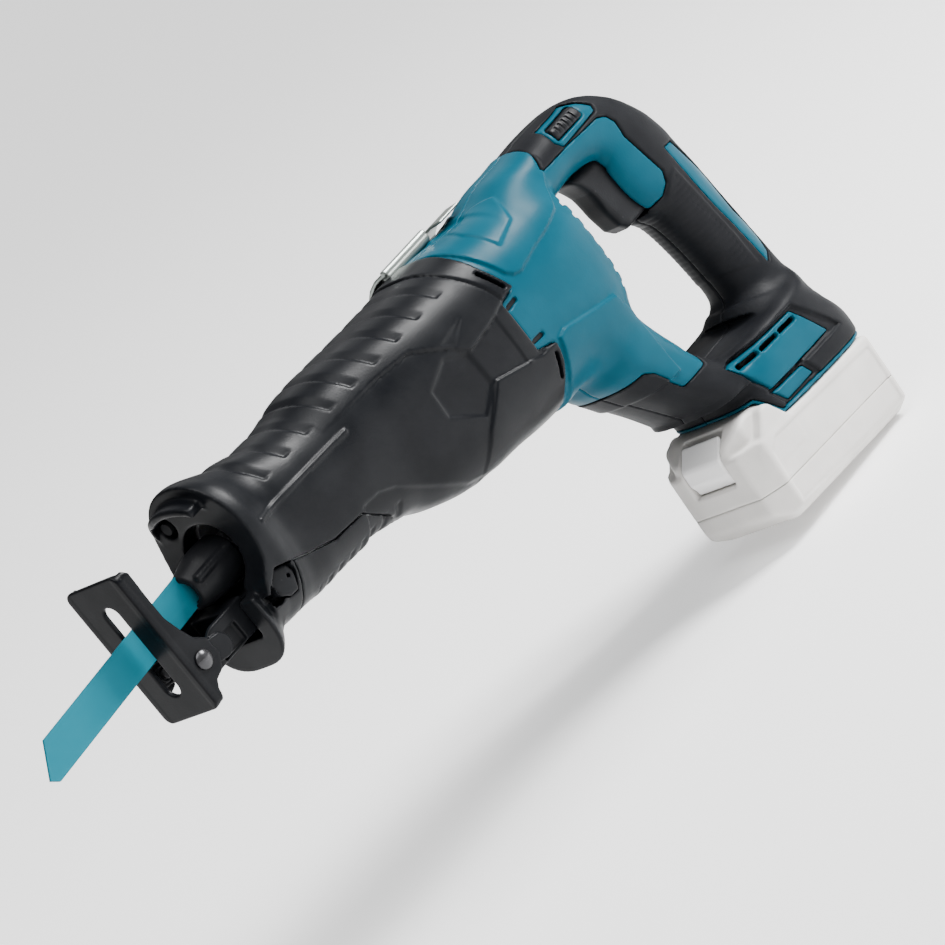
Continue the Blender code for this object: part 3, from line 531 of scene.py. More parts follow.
def housing_relief(g, dark):
    """How far the surface stands above its plain form, from the side view."""
    relief = areas_relief(g, HOUSING_AREAS) + 0.5 * rise(dark, 1.0)
    relief = relief - 0.9 * rise(np.abs(polygon(g.x, g.z, LOCK_FRAME)) - 0.2, 1.6)
    ribs = np.abs((g.z + 42) % RIB_PITCH - RIB_PITCH / 2) - RIB_HALF
    ribbed = np.maximum(ribs, polygon(g.x, g.z, GRIP_PANEL) + 2.5)
    relief = relief - RIB_DEPTH * rise(ribbed, 0.9)
    return relief - 0.55 * rise(np.abs(dark) - 0.25, 1.2)


def hexagon_relief(g):
    """Raised six-sided panel, drawn on the barrel unrolled about its axis."""
    around = np.degrees(np.arctan2(g.z - BARREL_AXIS_Z, np.abs(g.y))) * MM_PER_DEGREE
    outline = [(x, degrees * MM_PER_DEGREE) for x, degrees in HEXAGON]
    return HEXAGON_HEIGHT * rise(polygon(g.x + 0 * g.z, around, outline), 1.6)


def housing_shell(g, side, outer):
    """One side's hollow shell, before it is parted into the coloured and dark pieces."""
    shell = np.maximum(outer, -(outer + SHELL_WALL))
    shell = cut(shell, polygon(g.x, g.z, BOOT_SIDE) - 0.3, 0.8)
    shell = cut(shell, battery_room(g), 1.2)
    u, w = battery_axes(g.x, g.z)
    shell = np.minimum(shell, np.maximum(np.maximum(outer, w - PLATE_TOP), FOOT_SOLE - w))
    slot = np.maximum(np.maximum(np.abs(g.y) - RAIL_HALF_Y, w - RAIL_ROOF), RAIL_REAR - u)
    shell = cut(shell, slot, 0.8)
    shell = cut(shell, block(g, *TRIGGER_WINDOW, 1.5), 1.2)
    shell = cut(shell, block(g, *LOCK_OFF_WINDOW, 1.5), 0.8)
    for a, b in HOUSING_SLOTS:
        shell = cut(shell, segment(g.x, g.z, a, b) - SLOT_HALF, 0.5)
    for a, b in FOOT_VENTS:
        shell = cut(shell, segment(g.x, g.z, a, b) - FOOT_VENT_HALF, 0.5)
    for level in VENT_LEVELS:
        vent = np.maximum(np.abs(g.z - level) - VENT_HALF_Z, np.abs(g.x - VENT_X) - VENT_HALF_X)
        shell = cut(shell, np.maximum(vent, np.abs(g.y) - VENT_HALF_Y), 0.7)
    parting = (PARTING - g.y) if side > 0 else (g.y + PARTING)
    return blend_max(shell, parting, 0.5)


HOUSING_LOW, HOUSING_HIGH = (-246, -1.5, -166), (-44, 44, 42)


def screw_wells():
    """For each screw that enters from the right: x, z and how deep its head sits."""
    wells = []
    for k in range(1, SCREW_COUNT + 1):
        low, high = node_box(f"housing_screw_{k}")
        wells.append(((low.x + high.x) / 2, (low.z + high.z) / 2, -low.y - 0.5))
    return wells


def build_housing():
    """Coloured and dark shells, left and right."""
    for side, word in ((1, "left"), (-1, "right")):
        low, high = HOUSING_LOW, HOUSING_HIGH
        if side < 0:
            low, high = (low[0], -high[1], low[2]), (high[0], -low[1], high[2])
        g = Grid(low, high, VOXEL)
        dark = dark_field(g)
        outer = housing_field(g) - housing_relief(g, dark) - hexagon_relief(g)
        shell = housing_shell(g, side, outer)
        if side < 0:
            for x, z, depth in screw_wells():
                shell = cut(shell, rod(g.x - x, g.z - z, g.y, SCREW_HEAD_R, -60, -depth), 0.7)
        coloured = skin(f"housing_{word}_skin", g, blend_max(shell, SEAM - dark, 0.7), TEAL)
        finish_piece(coloured, "saw_body", "teal_shell", f"housing_{word}")
        soft = skin(f"grip_{word}_skin", g, blend_max(shell, dark + SEAM, 0.7), DARK)
        finish_piece(soft, "saw_body", "dark_grip", f"grip_{word}")


# Depth and half sizes of the black strips in the slots. The strips are painted shade that stands
# for the slots' dark insides.
SHADE_STRIP_DEPTH, SHADE_STRIP_HALF_THICK, SHADE_STRIP_HALF_WIDTH = 2.6, 1.1, 1.5


def build_slot_shade_strips():
    """Black strips sunk in the shells' slots: painted shade that keeps the slots dark inside."""
    g = Grid((-66, -43, -60), (-44, 43, 20), FINE)
    bottom = np.abs(housing_field(g) + SHADE_STRIP_DEPTH) - SHADE_STRIP_HALF_THICK
    strips = 1e3
    for a, b in HOUSING_SLOTS + BOOT_SLOTS:
        strips = np.minimum(strips, segment(g.x, g.z, a, b) - SHADE_STRIP_HALF_WIDTH)
    obj = skin("slot_shade_strips", g, np.maximum(strips, bottom), BLACK)
    finish_piece(obj, "saw_body", "black_plastic")


# ---------------------------------------------------------------- boot and its lower guard

# Sections along X: level of the middle, half-height, half-width, squareness.
BOOT_X = (-59, -40, -20, 0, 20, 35, 50, 62, 80, 95, 103, 110, 117, 124, 130, 136, 143, 151)
BOOT = {"z": (-20, -19.3, -18, -17.2, -15.9, -13, -8.8, -7.3, -6.3, -5.6, -5.2, -4.2, -3.4, -2.9,
              -1.2, 0.4, 1.9, 2.5),
        "h": (51, 50.3, 49, 48.5, 48.1, 46.2, 43, 41.2, 38.2, 37.6, 37.6, 38.4, 39.3, 39.5,
              40.2, 41.2, 42.4, 42.6),
        "w": (40.5, 40.5, 39.8, 39, 37, 35, 33, 32, 31, 30.4, 30.2, 30, 29.9, 29.8,
              30.2, 32.2, 34.8, 35.0),
        "n": (2.6, 2.7, 2.8, 2.8, 2.8, 2.7, 2.6, 2.6, 2.5, 2.5, 2.5, 2.5, 2.5, 2.4,
              2.4, 2.4, 2.3, 2.2)}
# The nose ring's front leans forward towards the bottom: level, and place along X.
FRONT_Z = (-16, -10, -4.4, 4, 12, 20)
FRONT_X = (162, 160, 155.5, 152, 150.4, 149.5)
LOBE_X = (158, 163, 168.5)
LOBE = {"z": (-20, -21.5, -22), "h": (22, 25, 27.3), "w": (22, 25, 28)}
LOBE_FRONT, LOBE_BACK, LOBE_TOP = 168.5, 156.0, -13.5
BOOT_WALL = 3.2
OPENING_R = 20.0
GUARD_REGION = [(139, -14.5), (127, -19), (110, -24.5), (88, -26), (80, -32), (70, -39), (60, -47),
                (57, -80), (141, -80), (141, -29.5)]
BOOT_SLOTS = [((-49.3, 13.5), (-54.2, 1)), ((-55.6, -42), (-53, -53))]
BOOT_SLOT_HALF = 1.25
CHEVRON = [(-60, 60), (-60, -3), (-47, -4), (-33, -7), (-14, -9), (-3, 1), (13, 12), (36, 14.2),
           (78, 14.5), (78, 60)]
RIM_BAND = [(-60, 60), (-60, -3), (-48, -3), (-45, 7), (-37, 23), (-32, 33), (-24, 60)]
REAR_BAND = [(-60, -3), (-38, -5.5), (-37.5, -35), (-60, -38)]
LOW_PANEL = [(-70, -38), (-48, -37), (-37, -34), (-15, -28), (4, -44), (14, -58), (14, -90),
             (-70, -90)]
FOLD = [(86, -24), (74, -24.5), (64, -29), (51, -38.5), (38, -48), (24, -57), (-5, -66),
        (-5, -90), (86, -90)]
FACET = [(-12, -8.5), (1, -2), (18, -9), (19, -24), (1, -37), (-13, -28)]
CREASE = [(-22, 6), (-3, 3.5), (-8, -2)]
BOOT_AREAS = [(REAR_BAND, 0.7, 0.9), (FACET, -1.1, 2.6), (CREASE, -0.7, 3.0)]
GROOVE_X = [-25 + 17.75 * k for k in range(9)]
GROOVE_END = 19.5
GROOVE_LEAN, GROOVE_LEVEL, GROOVE_HALF, GROOVE_DEPTH = 0.45, 22, 3.2, 0.9
SIDE_RIB = ((68.5, 8.2), (140, 9.8))
SIDE_RIB_HALF = 1.2
# Grooves across the guard's underside.
TEETH_PITCH, TEETH_HALF, TEETH_FROM, TEETH_TO, TEETH_TOP = 9.0, 1.6, 60, 126, -37
LOBE_POWER = 2.8


def boot_field(g):
    """Outer form of the boot: tapering body, flared nose ring and lower lobe."""
    s = sections(g.x, BOOT_X, BOOT)
    body = oval(g.z - s["z"], g.y, s["h"], s["w"], s["n"])
    body = blend_max(body, g.x - along(g.z, FRONT_Z, FRONT_X), 1)
    s = sections(g.x, LOBE_X, LOBE)
    lobe = oval(g.z - s["z"], g.y, s["h"], s["w"], LOBE_POWER)
    lobe = blend_max(blend_max(lobe, g.x - LOBE_FRONT, 2), LOBE_BACK - g.x, 2)
    return blend_min(body, blend_max(lobe, g.z - LOBE_TOP, 2), 2)


def boot_relief(g):
    """How far the boot stands above its plain form, from the side view."""
    x, z = g.x, g.z
    chevron = polygon(x, z, CHEVRON)
    band = polygon(x, z, RIM_BAND)
    fade = along(x, (-47, 30, 80), (1.0, 0.8, 0.0))
    relief = fade * (1.4 * rise(chevron, 1.1) - 0.5 * rise(np.abs(chevron) - 0.5, 1.2))
    relief = relief + 0.8 * rise(band, 1.0) - 0.9 * rise(np.abs(band) - 0.4, 1.3)
    relief = relief + areas_relief(g, BOOT_AREAS)
    relief = relief + (rise(polygon(x, z, LOW_PANEL), 1.6)
                       * along(z, (-75, -62, -45, -30), (0.0, 0.5, 1.5, 1.6)))
    relief = relief - 1.7 * rise(polygon(x, z, FOLD), 1.8) * along(x, (-20, 30), (0.0, 1.0))
    relief = relief + rise(segment(x, z, *SIDE_RIB) - SIDE_RIB_HALF, 1.1)
    for middle in GROOVE_X:
        across = x - middle - GROOVE_LEAN * (z - GROOVE_LEVEL)
        groove = np.maximum(np.abs(across) - GROOVE_HALF, GROOVE_END - z)
        depth = GROOVE_DEPTH * np.clip(0.55 + across / 6.0, 0.0, 1.0)
        relief = relief - depth * rise(groove, 1.0)
    pitch_place = (x - TEETH_FROM) % TEETH_PITCH - TEETH_PITCH / 2
    teeth = np.maximum(np.abs(pitch_place) - TEETH_HALF, np.maximum(z - TEETH_TOP, TEETH_FROM - x))
    return relief - rise(np.maximum(teeth, x - TEETH_TO), 1.4)


# The lamp hood is an arc across the tool: its centre, radius and half thickness, how far it
# reaches to each side of its middle, its rear and lowest level, and its front edge.
HOOD_Y, HOOD_Z, HOOD_R, HOOD_HALF = -1, 2, 35.2, 2.0
HOOD_MIDDLE_Y, HOOD_REACH, HOOD_REAR, HOOD_LOWEST = -5, 22.5, 141, 12
HOOD_EDGE_Y, HOOD_EDGE_X = (-28, -17, 0, 17), (151, 157, 159.5, 158.5)
# The lamp's pocket, and where the bracket slides.
LAMP_Y, LAMP_Z, LAMP_R, LAMP_REAR = -17, 26.5, 5.4, 143.5
BRACKET_CHANNEL = ((130, -16, -33), (175, 16, -8))
OPENING_REAR = 130


def nose_details(shell, g):
    """Opening, lamp hood, bracket channel and lamp pocket in the nose ring."""
    radius = np.sqrt(g.y ** 2 + (g.z - SPINDLE_Z) ** 2)
    hood_r = np.sqrt((g.y - HOOD_Y) ** 2 + (g.z - HOOD_Z) ** 2)
    sides = np.abs(g.y - HOOD_MIDDLE_Y) - HOOD_REACH
    hood = blend_max(np.abs(hood_r - HOOD_R) - HOOD_HALF, sides, 1.5)
    front = g.x - along(g.y, HOOD_EDGE_Y, HOOD_EDGE_X)
    hood = blend_max(hood, np.maximum(front, HOOD_REAR - g.x), 1.5)
    shell = blend_min(shell, np.maximum(hood, HOOD_LOWEST - g.z), 1.5)
    shell = cut(shell, radius - OPENING_R + np.maximum(OPENING_REAR - g.x, 0), 1.4)
    shell = cut(shell, block(g, *BRACKET_CHANNEL, 2.5), 1.2)
    lamp_pocket = np.sqrt((g.y - LAMP_Y) ** 2 + (g.z - LAMP_Z) ** 2) - LAMP_R
    return cut(shell, np.maximum(lamp_pocket, LAMP_REAR - g.x), 1.2)


TAB = [(152, -10), (143, -13), (141.5, -18), (144.5, -27), (150, -26.8), (155.5, -23),
       (157.5, -15)]
TAB_CRESCENT = [(158.5, -14), (162, -19), (161, -25), (156, -26), (153, -25), (157, -21)]
TAB_CREASE = ((150, -10.5), (139, -14.5))
TAB_ROOM, TAB_PLAY = 0.3, 0.2
NOSE_SOLID_X = 138.5
GUARD_GAP = 0.25


def build_boot():
    """Rubber boot with its nose ring, and the guard parted from its underside."""
    g = Grid((-62, -42.5, -76), (170, 42.5, 46), VOXEL)
    plain = boot_field(g)
    relief = boot_relief(g)
    inside = np.maximum(plain + BOOT_WALL - np.minimum(relief, 0), g.x - NOSE_SOLID_X)
    shell = np.maximum(plain - relief, -inside)
    shell = blend_max(shell, polygon(g.x, g.z, BOOT_SIDE), 0.8)
    shell = nose_details(shell, g)
    recess = np.maximum(polygon(g.x, g.z, TAB) - TAB_ROOM, 18 - g.y)
    recess = np.minimum(recess, np.maximum(polygon(g.x, g.z, TAB_CRESCENT), 20 - g.y))
    shell = cut(shell, recess, 0.4)
    crease = segment(g.x, g.z, *TAB_CREASE) - 0.3
    shell = cut(shell, np.maximum(crease, 26 - g.y), 0.4)
    for a, b in BOOT_SLOTS:
        shell = cut(shell, segment(g.x, g.z, a, b) - BOOT_SLOT_HALF, 0.5)
    region = polygon(g.x, g.z, GUARD_REGION)
    boot = skin("boot_skin", g, cut(shell, region - GUARD_GAP, 0.9), RUBBER)
    finish_piece(boot, "saw_body", "boot_rubber", "boot")
    guard = skin("guard_skin", g, blend_max(shell, region + GUARD_GAP, 0.9), RUBBER)
    finish_piece(guard, "saw_body", "boot_rubber", "lower_guard")


# ---------------------------------------------------------------- small working parts

TRIGGER_STROKE = 7.0
TRIGGER_FACE = [(-155, 2.8), (-158.5, -3), (-163.5, -10), (-165.5, -20), (-168.5, -33),
                (-173, -37.6), (-200, -37.6), (-200, 2.8)]
TRIGGER_FRONT, TRIGGER_HALF_Y = -153, 8.8
# The finger's hollow: centre in the side view, and radius.
FINGER_X, FINGER_Z, FINGER_R = -140, -16, 25.4


def build_trigger():
    """Trigger with a finger's hollow, and room behind for its spring."""
    low, high = node_box("trigger")
    g = Grid((low.x - 1, low.y - 1, low.z - 1), (TRIGGER_FRONT, high.y + 1, high.z + 1), FINE)
    outline = polygon(g.x, g.z, TRIGGER_FACE)
    finger = FINGER_R - np.sqrt((g.x - FINGER_X) ** 2 + (g.z - FINGER_Z) ** 2)
    body = blend_max(outline, np.abs(g.y) - TRIGGER_HALF_Y, 5.0)
    body = blend_max(body, finger, 3.0)
    low, high = node_box("trigger_spring")
    spring_room = rod(g.y - (low.y + high.y) / 2, g.z - (low.z + high.z) / 2, g.x,
                      (high.z - low.z) / 2 + 0.8, low.x - 1, high.x + TRIGGER_STROKE + 0.5)
    body = cut(body, spring_room, 0.2)
    obj = skin("trigger_skin", g, body, TRIGGER)
    finish_piece(obj, "trigger_body", "dark_grip", "trigger")


TAB_TOP, TAB_FLOOR, TAB_CROWN = 30.8, 26.0, 0.012


def build_lock_tab():
    """Crowned lock tab with a small blind hole and a stem behind."""
    g = Grid((137, 17, -33), (160, node_box("shoe_lock_button")[1].y + 0.6, -8), FINE)
    outline = polygon(g.x, g.z, TAB) + TAB_PLAY
    crown = g.y - TAB_TOP + TAB_CROWN * ((g.x - 146) ** 2 + (g.z + 14) ** 2)
    body = blend_max(outline, blend_max(crown, TAB_FLOOR - g.y, 1.0), 1.6)
    body = np.minimum(body, rod(g.x - 147, g.z + 19, g.y, 4.0, 22.5, 28))
    hole = np.sqrt((g.x - 146) ** 2 + (g.z + 18) ** 2) - 1.1
    body = cut(body, np.maximum(hole, 28 - g.y), 0.3)
    obj = skin("lock_tab", g, body, RUBBER)
    finish_piece(obj, "shoe_button_body", "black_plastic", "shoe_lock_button")


def build_lock_off():
    """Push-through button, ribbed at both ends, a little proud of the shells."""
    low, high = node_box("lock_off_slider")
    g = Grid((low.x - 1, low.y - 2, low.z - 1), (high.x + 1, high.y + 2, high.z + 1), FINE)
    body = block(g, tuple(low), tuple(high), 1.6)
    body = blend_max(body, housing_field(g) - 1.0, 0.8)
    mid_x, mid_z = (low.x + high.x) / 2, (low.z + high.z) / 2
    ribs = np.abs((g.x - mid_x + 30) % 3.6 - 1.8) - 0.6
    ribs = np.maximum(ribs, np.abs(g.x - mid_x) - 9)
    ends = np.maximum(ribs, 0.1 - housing_field(g))
    body = cut(body, np.maximum(ends, np.abs(g.z - mid_z) - 2.6), 0.4)
    obj = skin("lock_off_knob", g, body, BLACK)
    finish_piece(obj, "lock_off_body", "black_plastic", "lock_off_slider")


SLEEVE_TIP_X, SLEEVE_BORE = 176.0, 6.4
SLEEVE_X, SLEEVE_R = (148, 156, 162, 169, 176), (13.2, 13.6, 13.2, 11.6, 9.8)
# The rib: turn about the spindle, its middle's distance from the axis along X, half-width.
RIB_TURN, RIB_X, RIB_R = math.radians(22), (150, 162, 174), (12.6, 12.6, 11.0)
SLEEVE_RIB_HALF = 2.3


def build_sleeve():
    """Conical clamp sleeve with a long raised rib."""
    low = node_box("clamp_sleeve")[0]
    g = Grid((low.x - 1, -18, SPINDLE_Z - 18), (SLEEVE_TIP_X + 1, 18, SPINDLE_Z + 18), FINE)
    z = g.z - SPINDLE_Z
    radius = np.sqrt(g.y ** 2 + z ** 2)
    profile = along(g.x, SLEEVE_X, SLEEVE_R)
    body = blend_max(radius - profile, np.maximum(g.x - SLEEVE_TIP_X, low.x - g.x), 1.5)
    across = g.y * math.sin(RIB_TURN) - z * math.cos(RIB_TURN)
    out = g.y * math.cos(RIB_TURN) + z * math.sin(RIB_TURN)
    ridge = along(g.x, RIB_X, RIB_R)
    rib = np.sqrt(across ** 2 + np.maximum(out - ridge, 0) ** 2) - SLEEVE_RIB_HALF
    rib = blend_max(rib, np.maximum(-out, np.maximum(g.x - RIB_X[-1], low.x + 1 - g.x)), 2.0)
    body = blend_min(body, rib, 1.4)
    body = cut(body, radius - SLEEVE_BORE, 0.6)
    obj = skin("sleeve", g, body, BLACK)
    finish_piece(obj, "clamp_body", "black_plastic", "clamp_sleeve")


FLANGE = [(215, 39.5), (209.5, 39.2), (207, 36), (207.6, 18), (207.4, 9), (204.9, 0.6),
          (202, -6.5), (196.2, -11.5), (195.7, -21), (200, -27), (206, -28.8), (208.4, -32),
          (209.6, -37.5), (215, -38)]
SHOE_TOP, SHOE_BOTTOM = 40.3, -38.7
SHOE_CORNER, SHOE_HALF_THICK = 5, 1.4
SHOE_SLOT_TOP, SHOE_SLOT_BOTTOM, SHOE_SLOT_HALF = 21.5, -20.5, 5.4
SHOE_HOLE_R = 2.6


def pivot_radius(g):
    """Distance from the shoe's pivot in the side view."""
    return np.sqrt((g.x - SHOE_PIVOT.x) ** 2 + (g.z - SHOE_PIVOT.z) ** 2)


def build_shoe():
    """Face plate with a long slot and two folded flanges."""
    low, high = node_box("shoe_plate")
    g = Grid((low.x - 2, low.y - 1, SHOE_BOTTOM - 1), (high.x + 1, high.y + 1, SHOE_TOP + 1), FINE)
    middle, half = (SHOE_TOP + SHOE_BOTTOM) / 2, (SHOE_TOP - SHOE_BOTTOM) / 2
    corner_y = np.abs(g.y) - (high.y - SHOE_CORNER)
    corner_z = np.abs(g.z - middle) - (half - SHOE_CORNER)
    outline = (np.sqrt(np.maximum(corner_y, 0) ** 2 + np.maximum(corner_z, 0) ** 2)
               + np.minimum(np.maximum(corner_y, corner_z), 0) - SHOE_CORNER)
    body = np.abs(g.x - (high.x - SHOE_HALF_THICK)) - SHOE_HALF_THICK
    body = blend_max(outline, body, 1.0)
    sides = np.abs(np.abs(g.y) - (high.y - SHOE_HALF_THICK)) - SHOE_HALF_THICK
    sides = blend_max(polygon(g.x, g.z, FLANGE), sides, 0.9)
    body = blend_min(body, sides, 2.2)
    body = blend_max(blend_max(body, g.x - high.x, 0.6), outline, 0.8)
    past_slot = g.z - np.clip(g.z, SHOE_SLOT_BOTTOM, SHOE_SLOT_TOP)
    slot = np.sqrt(g.y ** 2 + past_slot ** 2) - SHOE_SLOT_HALF
    body = cut(body, np.maximum(slot, high.x - 6 - g.x), 0.8)
    body = cut(body, pivot_radius(g) - SHOE_HOLE_R, 0.3)
    obj = skin("shoe", g, body, DARK_STEEL)
    finish_piece(obj, "shoe_body", "dark_steel", "shoe_plate")


ARM_EYE_R, ARM_Y, ARM_HALF = 6.3, 15.6, 2.1
WASHER_R, WASHER_HALF = 3.2, 0.9


def build_bracket():
    """Sliding bar that ends in a channel with two arms for the shoe."""
    low, high = node_box("shoe_bracket")
    g = Grid((low.x - 1, low.y - 1, low.z - 1), (high.x + 1, high.y + 1, -5), FINE)
    bar = block(g, (low.x, -11, -29), (168, 11, -13.8), 1.0)
    neck = block(g, (163, -15, -29), (200, 15, -11), 1.5)
    neck = cut(neck, block(g, (176, -12.2, -26), (230, 12.2, 0), 1.0), 1.0)
    neck = cut(neck, block(g, (175, 12.8, -28), (192, 20, -17.5), 1.0), 0.6)
    slope = (g.x - 188) * 0.45 + (g.z + 11) * 0.89
    neck = blend_max(neck, slope, 1.0)
    arm = pivot_radius(g) - ARM_EYE_R
    root = segment(g.x, g.z, (190, -20.5), (SHOE_PIVOT.x, SHOE_PIVOT.z)) - 6.0
    arm = blend_max(np.minimum(arm, root), np.abs(np.abs(g.y) - ARM_Y) - ARM_HALF, 0.6)
    wall = block(g, (164, -15, -28), (197, -12.4, -7.8), 0.8)
    body = blend_min(blend_min(blend_min(bar, neck, 1.0), wall, 0.6), arm, 0.8)
    washer = np.abs(pivot_radius(g) - WASHER_R) - WASHER_HALF
    washer = blend_max(washer, np.abs(np.abs(g.y) - 12.6) - 1.6, 0.4)
    obj = skin("bracket", g, np.minimum(body, washer), DARK_STEEL)
    finish_piece(obj, "shoe_bracket_body", "dark_steel", "shoe_bracket")


# Rivets: radius of the dome's ball and how far out its centre is, head and shank radii, and
# how far out the head's underside and the shank's end are.
DOME_R, DOME_OUT, HEAD_R, SHANK_R, HEAD_OUT, SHANK_OUT = 6.5, 17.2, 4.9, 2.4, 21.2, 22


def build_rivets():
    """Two domed rivets that the shoe tilts on."""
    for name, side in (("shoe_rivet_left", 1), ("shoe_rivet_right", -1)):
        low, high = node_box(name)
        g = Grid((low.x - 1, low.y - 1, low.z - 1), (high.x + 1, high.y + 1, high.z + 1), FINE)
        radius = pivot_radius(g)
        out = side * g.y
        dome = np.sqrt(radius ** 2 + (out - DOME_OUT) ** 2) - DOME_R
        head = blend_max(np.maximum(dome, radius - HEAD_R), HEAD_OUT - out, 0.5)
        low_end = min(side * low.y, side * high.y)
        shank = np.maximum(radius - SHANK_R, np.maximum(low_end - out, out - SHANK_OUT))
        obj = skin(name + "_dome", g, np.minimum(head, shank), RIVET)
        finish_piece(obj, "shoe_bracket_body", "dark_steel", name)


# The hook's strip, across the tool: y, z down the middle of its thickness.
HOOK_STRIP = [(-37, 13), (-36.2, 18.5), (-33, 25.2), (-27.5, 29.8), (-20.5, 33.2), (-14.5, 34.6),
              (-11.4, 34.9), (-10.2, 35.6), (-10.6, 36.3), (-12.2, 36.2)]
HOOK_ARM = [(-37, 14), (-35.6, 20), (-30.6, 26.4), (-23, 31.4), (-12, 34.2), (-3, 35)]
# Where the two strips lie along X and half their width, the hinge, and the rolled edge.
STRIP_X, STRIP_HALF, ARM_X, ARM_HALF_X = -60, 18.5, -92, 8.5
HINGE_Y, HINGE_Z = -37, 14
ROLL_Y, ROLL_Z, ROLL_R = -11.5, 33, 2.9


def build_hook():
    """Bent strip with a rolled edge, and the thin second arm behind it."""
    g = Grid((-104, -41, 8), (-40, 0, 41), FINE)
    strip = polyline(g.y, g.z, HOOK_STRIP) - 1.1
    main = blend_max(strip, np.abs(g.x - STRIP_X) - STRIP_HALF, 0.8)
    main = blend_min(main, rod(g.y - ROLL_Y, g.z - ROLL_Z, g.x, ROLL_R, -78, -42), 0.6)
    arm = polyline(g.y, g.z, HOOK_ARM) - 0.8
    arm = blend_max(arm, np.abs(g.x - ARM_X) - ARM_HALF_X, 0.6)
    join = rod(g.y - HINGE_Y, g.z - HINGE_Z, g.x, 1.9, -100.5, -42)
    body = blend_min(blend_min(main, join, 1.0), arm, 0.5)
    body = cut(body, rod(g.y - HINGE_Y, g.z - HINGE_Z - 2, g.x, 1.3, -110, -40), 0.2)
    obj = skin("belt_hook", g, body, HOOK)
    finish_piece(obj, "hook_body", "steel", "hook")


# ---------------------------------------------------------------- battery

def to_battery(points):
    """Battery-frame points (u, y, w) to design points."""
    c, s = SLIDE_AXIS.x, SLIDE_AXIS.z
    u, y, w = points[:, 0], points[:, 1], points[:, 2]
    return np.stack([BATTERY_MIDDLE[0] + u * c - w * s, y, BATTERY_MIDDLE[1] + u * s + w * c], 1)


# Half sizes along the rails and across, underside and top of the case, and its parting level.
CASE_HALF_X, CASE_HALF_Y, CASE_BOTTOM, CASE_TOP = 57.5, 37.5, -29.5, 18.0
CASE_SPLIT = -8.0
SPLIT_GAP, CASE_WALL = 0.05, 3.0
# Front corners' chamfer in plan: where its plane starts, and its slopes along x and y.
CORNER_FROM, CORNER_X, CORNER_Y = 46, 0.72, 0.70
NOSE_BACK = 19.9


def battery_form(g):
    """Outer form in the battery frame; x is along the rails, z square to them."""
    ay = np.abs(g.y)
    low = (-CASE_HALF_X, -CASE_HALF_Y, CASE_BOTTOM)
    body = block(g, low, (CASE_HALF_X, CASE_HALF_Y, CASE_TOP), 3.0)
    corner = (g.x - CORNER_FROM) * CORNER_X + (ay - CASE_HALF_Y) * CORNER_Y
    body = blend_max(body, corner, 1.5)
    keel = (g.x - CASE_HALF_X) * 0.62 - (g.z + 12) * 0.78
    body = blend_max(body, keel - 4.8, 3.0)
    side_keel = (ay - CASE_HALF_Y) * 0.55 - (g.z + 18) * 0.83 - 3.0
    body = blend_max(body, side_keel, 2.5)
    rear = (NOSE_BACK + NOSE_SLANT * (g.z - FOOT_SOLE) - g.x) * 0.81
    nose = blend_max(block(g, (16, -30, 0), (56, 30, 31.4), 3.0), rear, 1.5)
    nose = blend_max(nose, (g.x - 56) * 0.55 + (g.z - 22) * 0.83, 2.5)
    nose = blend_max(nose, (g.x - 49) * 0.7 + (ay - 27) * 0.71, 1.5)
    shoulder = blend_max(block(g, (16, -37.2, 0), (50, 37.2, 30.0), 2.5), rear, 1.5)
    shoulder = blend_max(shoulder, (g.x - 36) * 0.72 + (g.z - 27) * 0.69, 2.0)
    shoulder = blend_max(shoulder, corner, 1.5)
    body = blend_min(blend_min(body, nose, 2.0), shoulder, 1.5)
    rails = block(g, (-49.5, -28.6, 10), (25, 28.6, 26.8), 1.0)
    return np.minimum(body, rails)


LABEL_AREA = [(-53, -24), (44, -21), (43, 9), (36, 14), (-53, 12)]
PANEL_DEPTH = 0.9
BUTTON_HOLE = ((42.8, -15.8, 3.2), (60, 15.8, 30.2))


def build_battery():
    """Two-part battery case with a sunk side panel, grooved underside and rail slots."""
    g = Grid((-60, -39, -31), (59, 39, 33), VOXEL)
    form = battery_form(g)
    ay = np.abs(g.y)
    panel = PANEL_DEPTH * rise(polygon(g.x, g.z, LABEL_AREA), 1.4)
    form = form + panel * rise(30 - ay, 4)
    grooves = np.abs((g.x + 60) % 14 - 7) - 1.0
    grooves = np.maximum(grooves, np.maximum(np.abs(g.x) - 44, ay - 24))
    form = form + PANEL_DEPTH * rise(grooves, 1.2) * rise(g.z + 24, 3)
    form = cut(form, block(g, *BUTTON_HOLE, 1.5), 0.8)
    slot = np.maximum(np.abs(ay - 27.5) - 1.6, np.maximum(np.abs(g.z - 21.5) - 2.0, -48 - g.x))
    form = cut(form, np.maximum(slot, g.x - 22), 0.4)
    shell = np.maximum(form, -(form + CASE_WALL))
    split = g.z - CASE_SPLIT
    upper = skin("battery_upper", g, blend_max(shell, SPLIT_GAP - split, 0.3), PALE, to_battery)
    finish_piece(upper, "battery_body", "battery_plastic", "battery_case_upper")
    lower = skin("battery_lower", g, blend_max(shell, split + SPLIT_GAP, 0.3), PALE, to_battery)
    finish_piece(lower, "battery_body", "battery_plastic", "battery_case_lower")


def build_battery_button():
    """Release button with a slanted top and a thumb dip."""
    g = Grid((45, -17, 2), (58.5, 17, 32), FINE)
    body = block(g, (46.8, -15, 4), (57.2, 15, 29.5), 1.5)
    body = blend_max(body, (g.x - 55.5) * 0.7 + (g.z - 21) * 0.71, 1.5)
    dip = np.sqrt((g.x - 63) ** 2 + (g.z - 4) ** 2) - 8.5
    body = cut(body, dip, 1.2)
    obj = skin("release_button", g, body, BUTTON, to_battery)
    finish_piece(obj, "battery_button_body", "battery_release", "battery_button")


# ---------------------------------------------------------------- carried-over CAD nodes

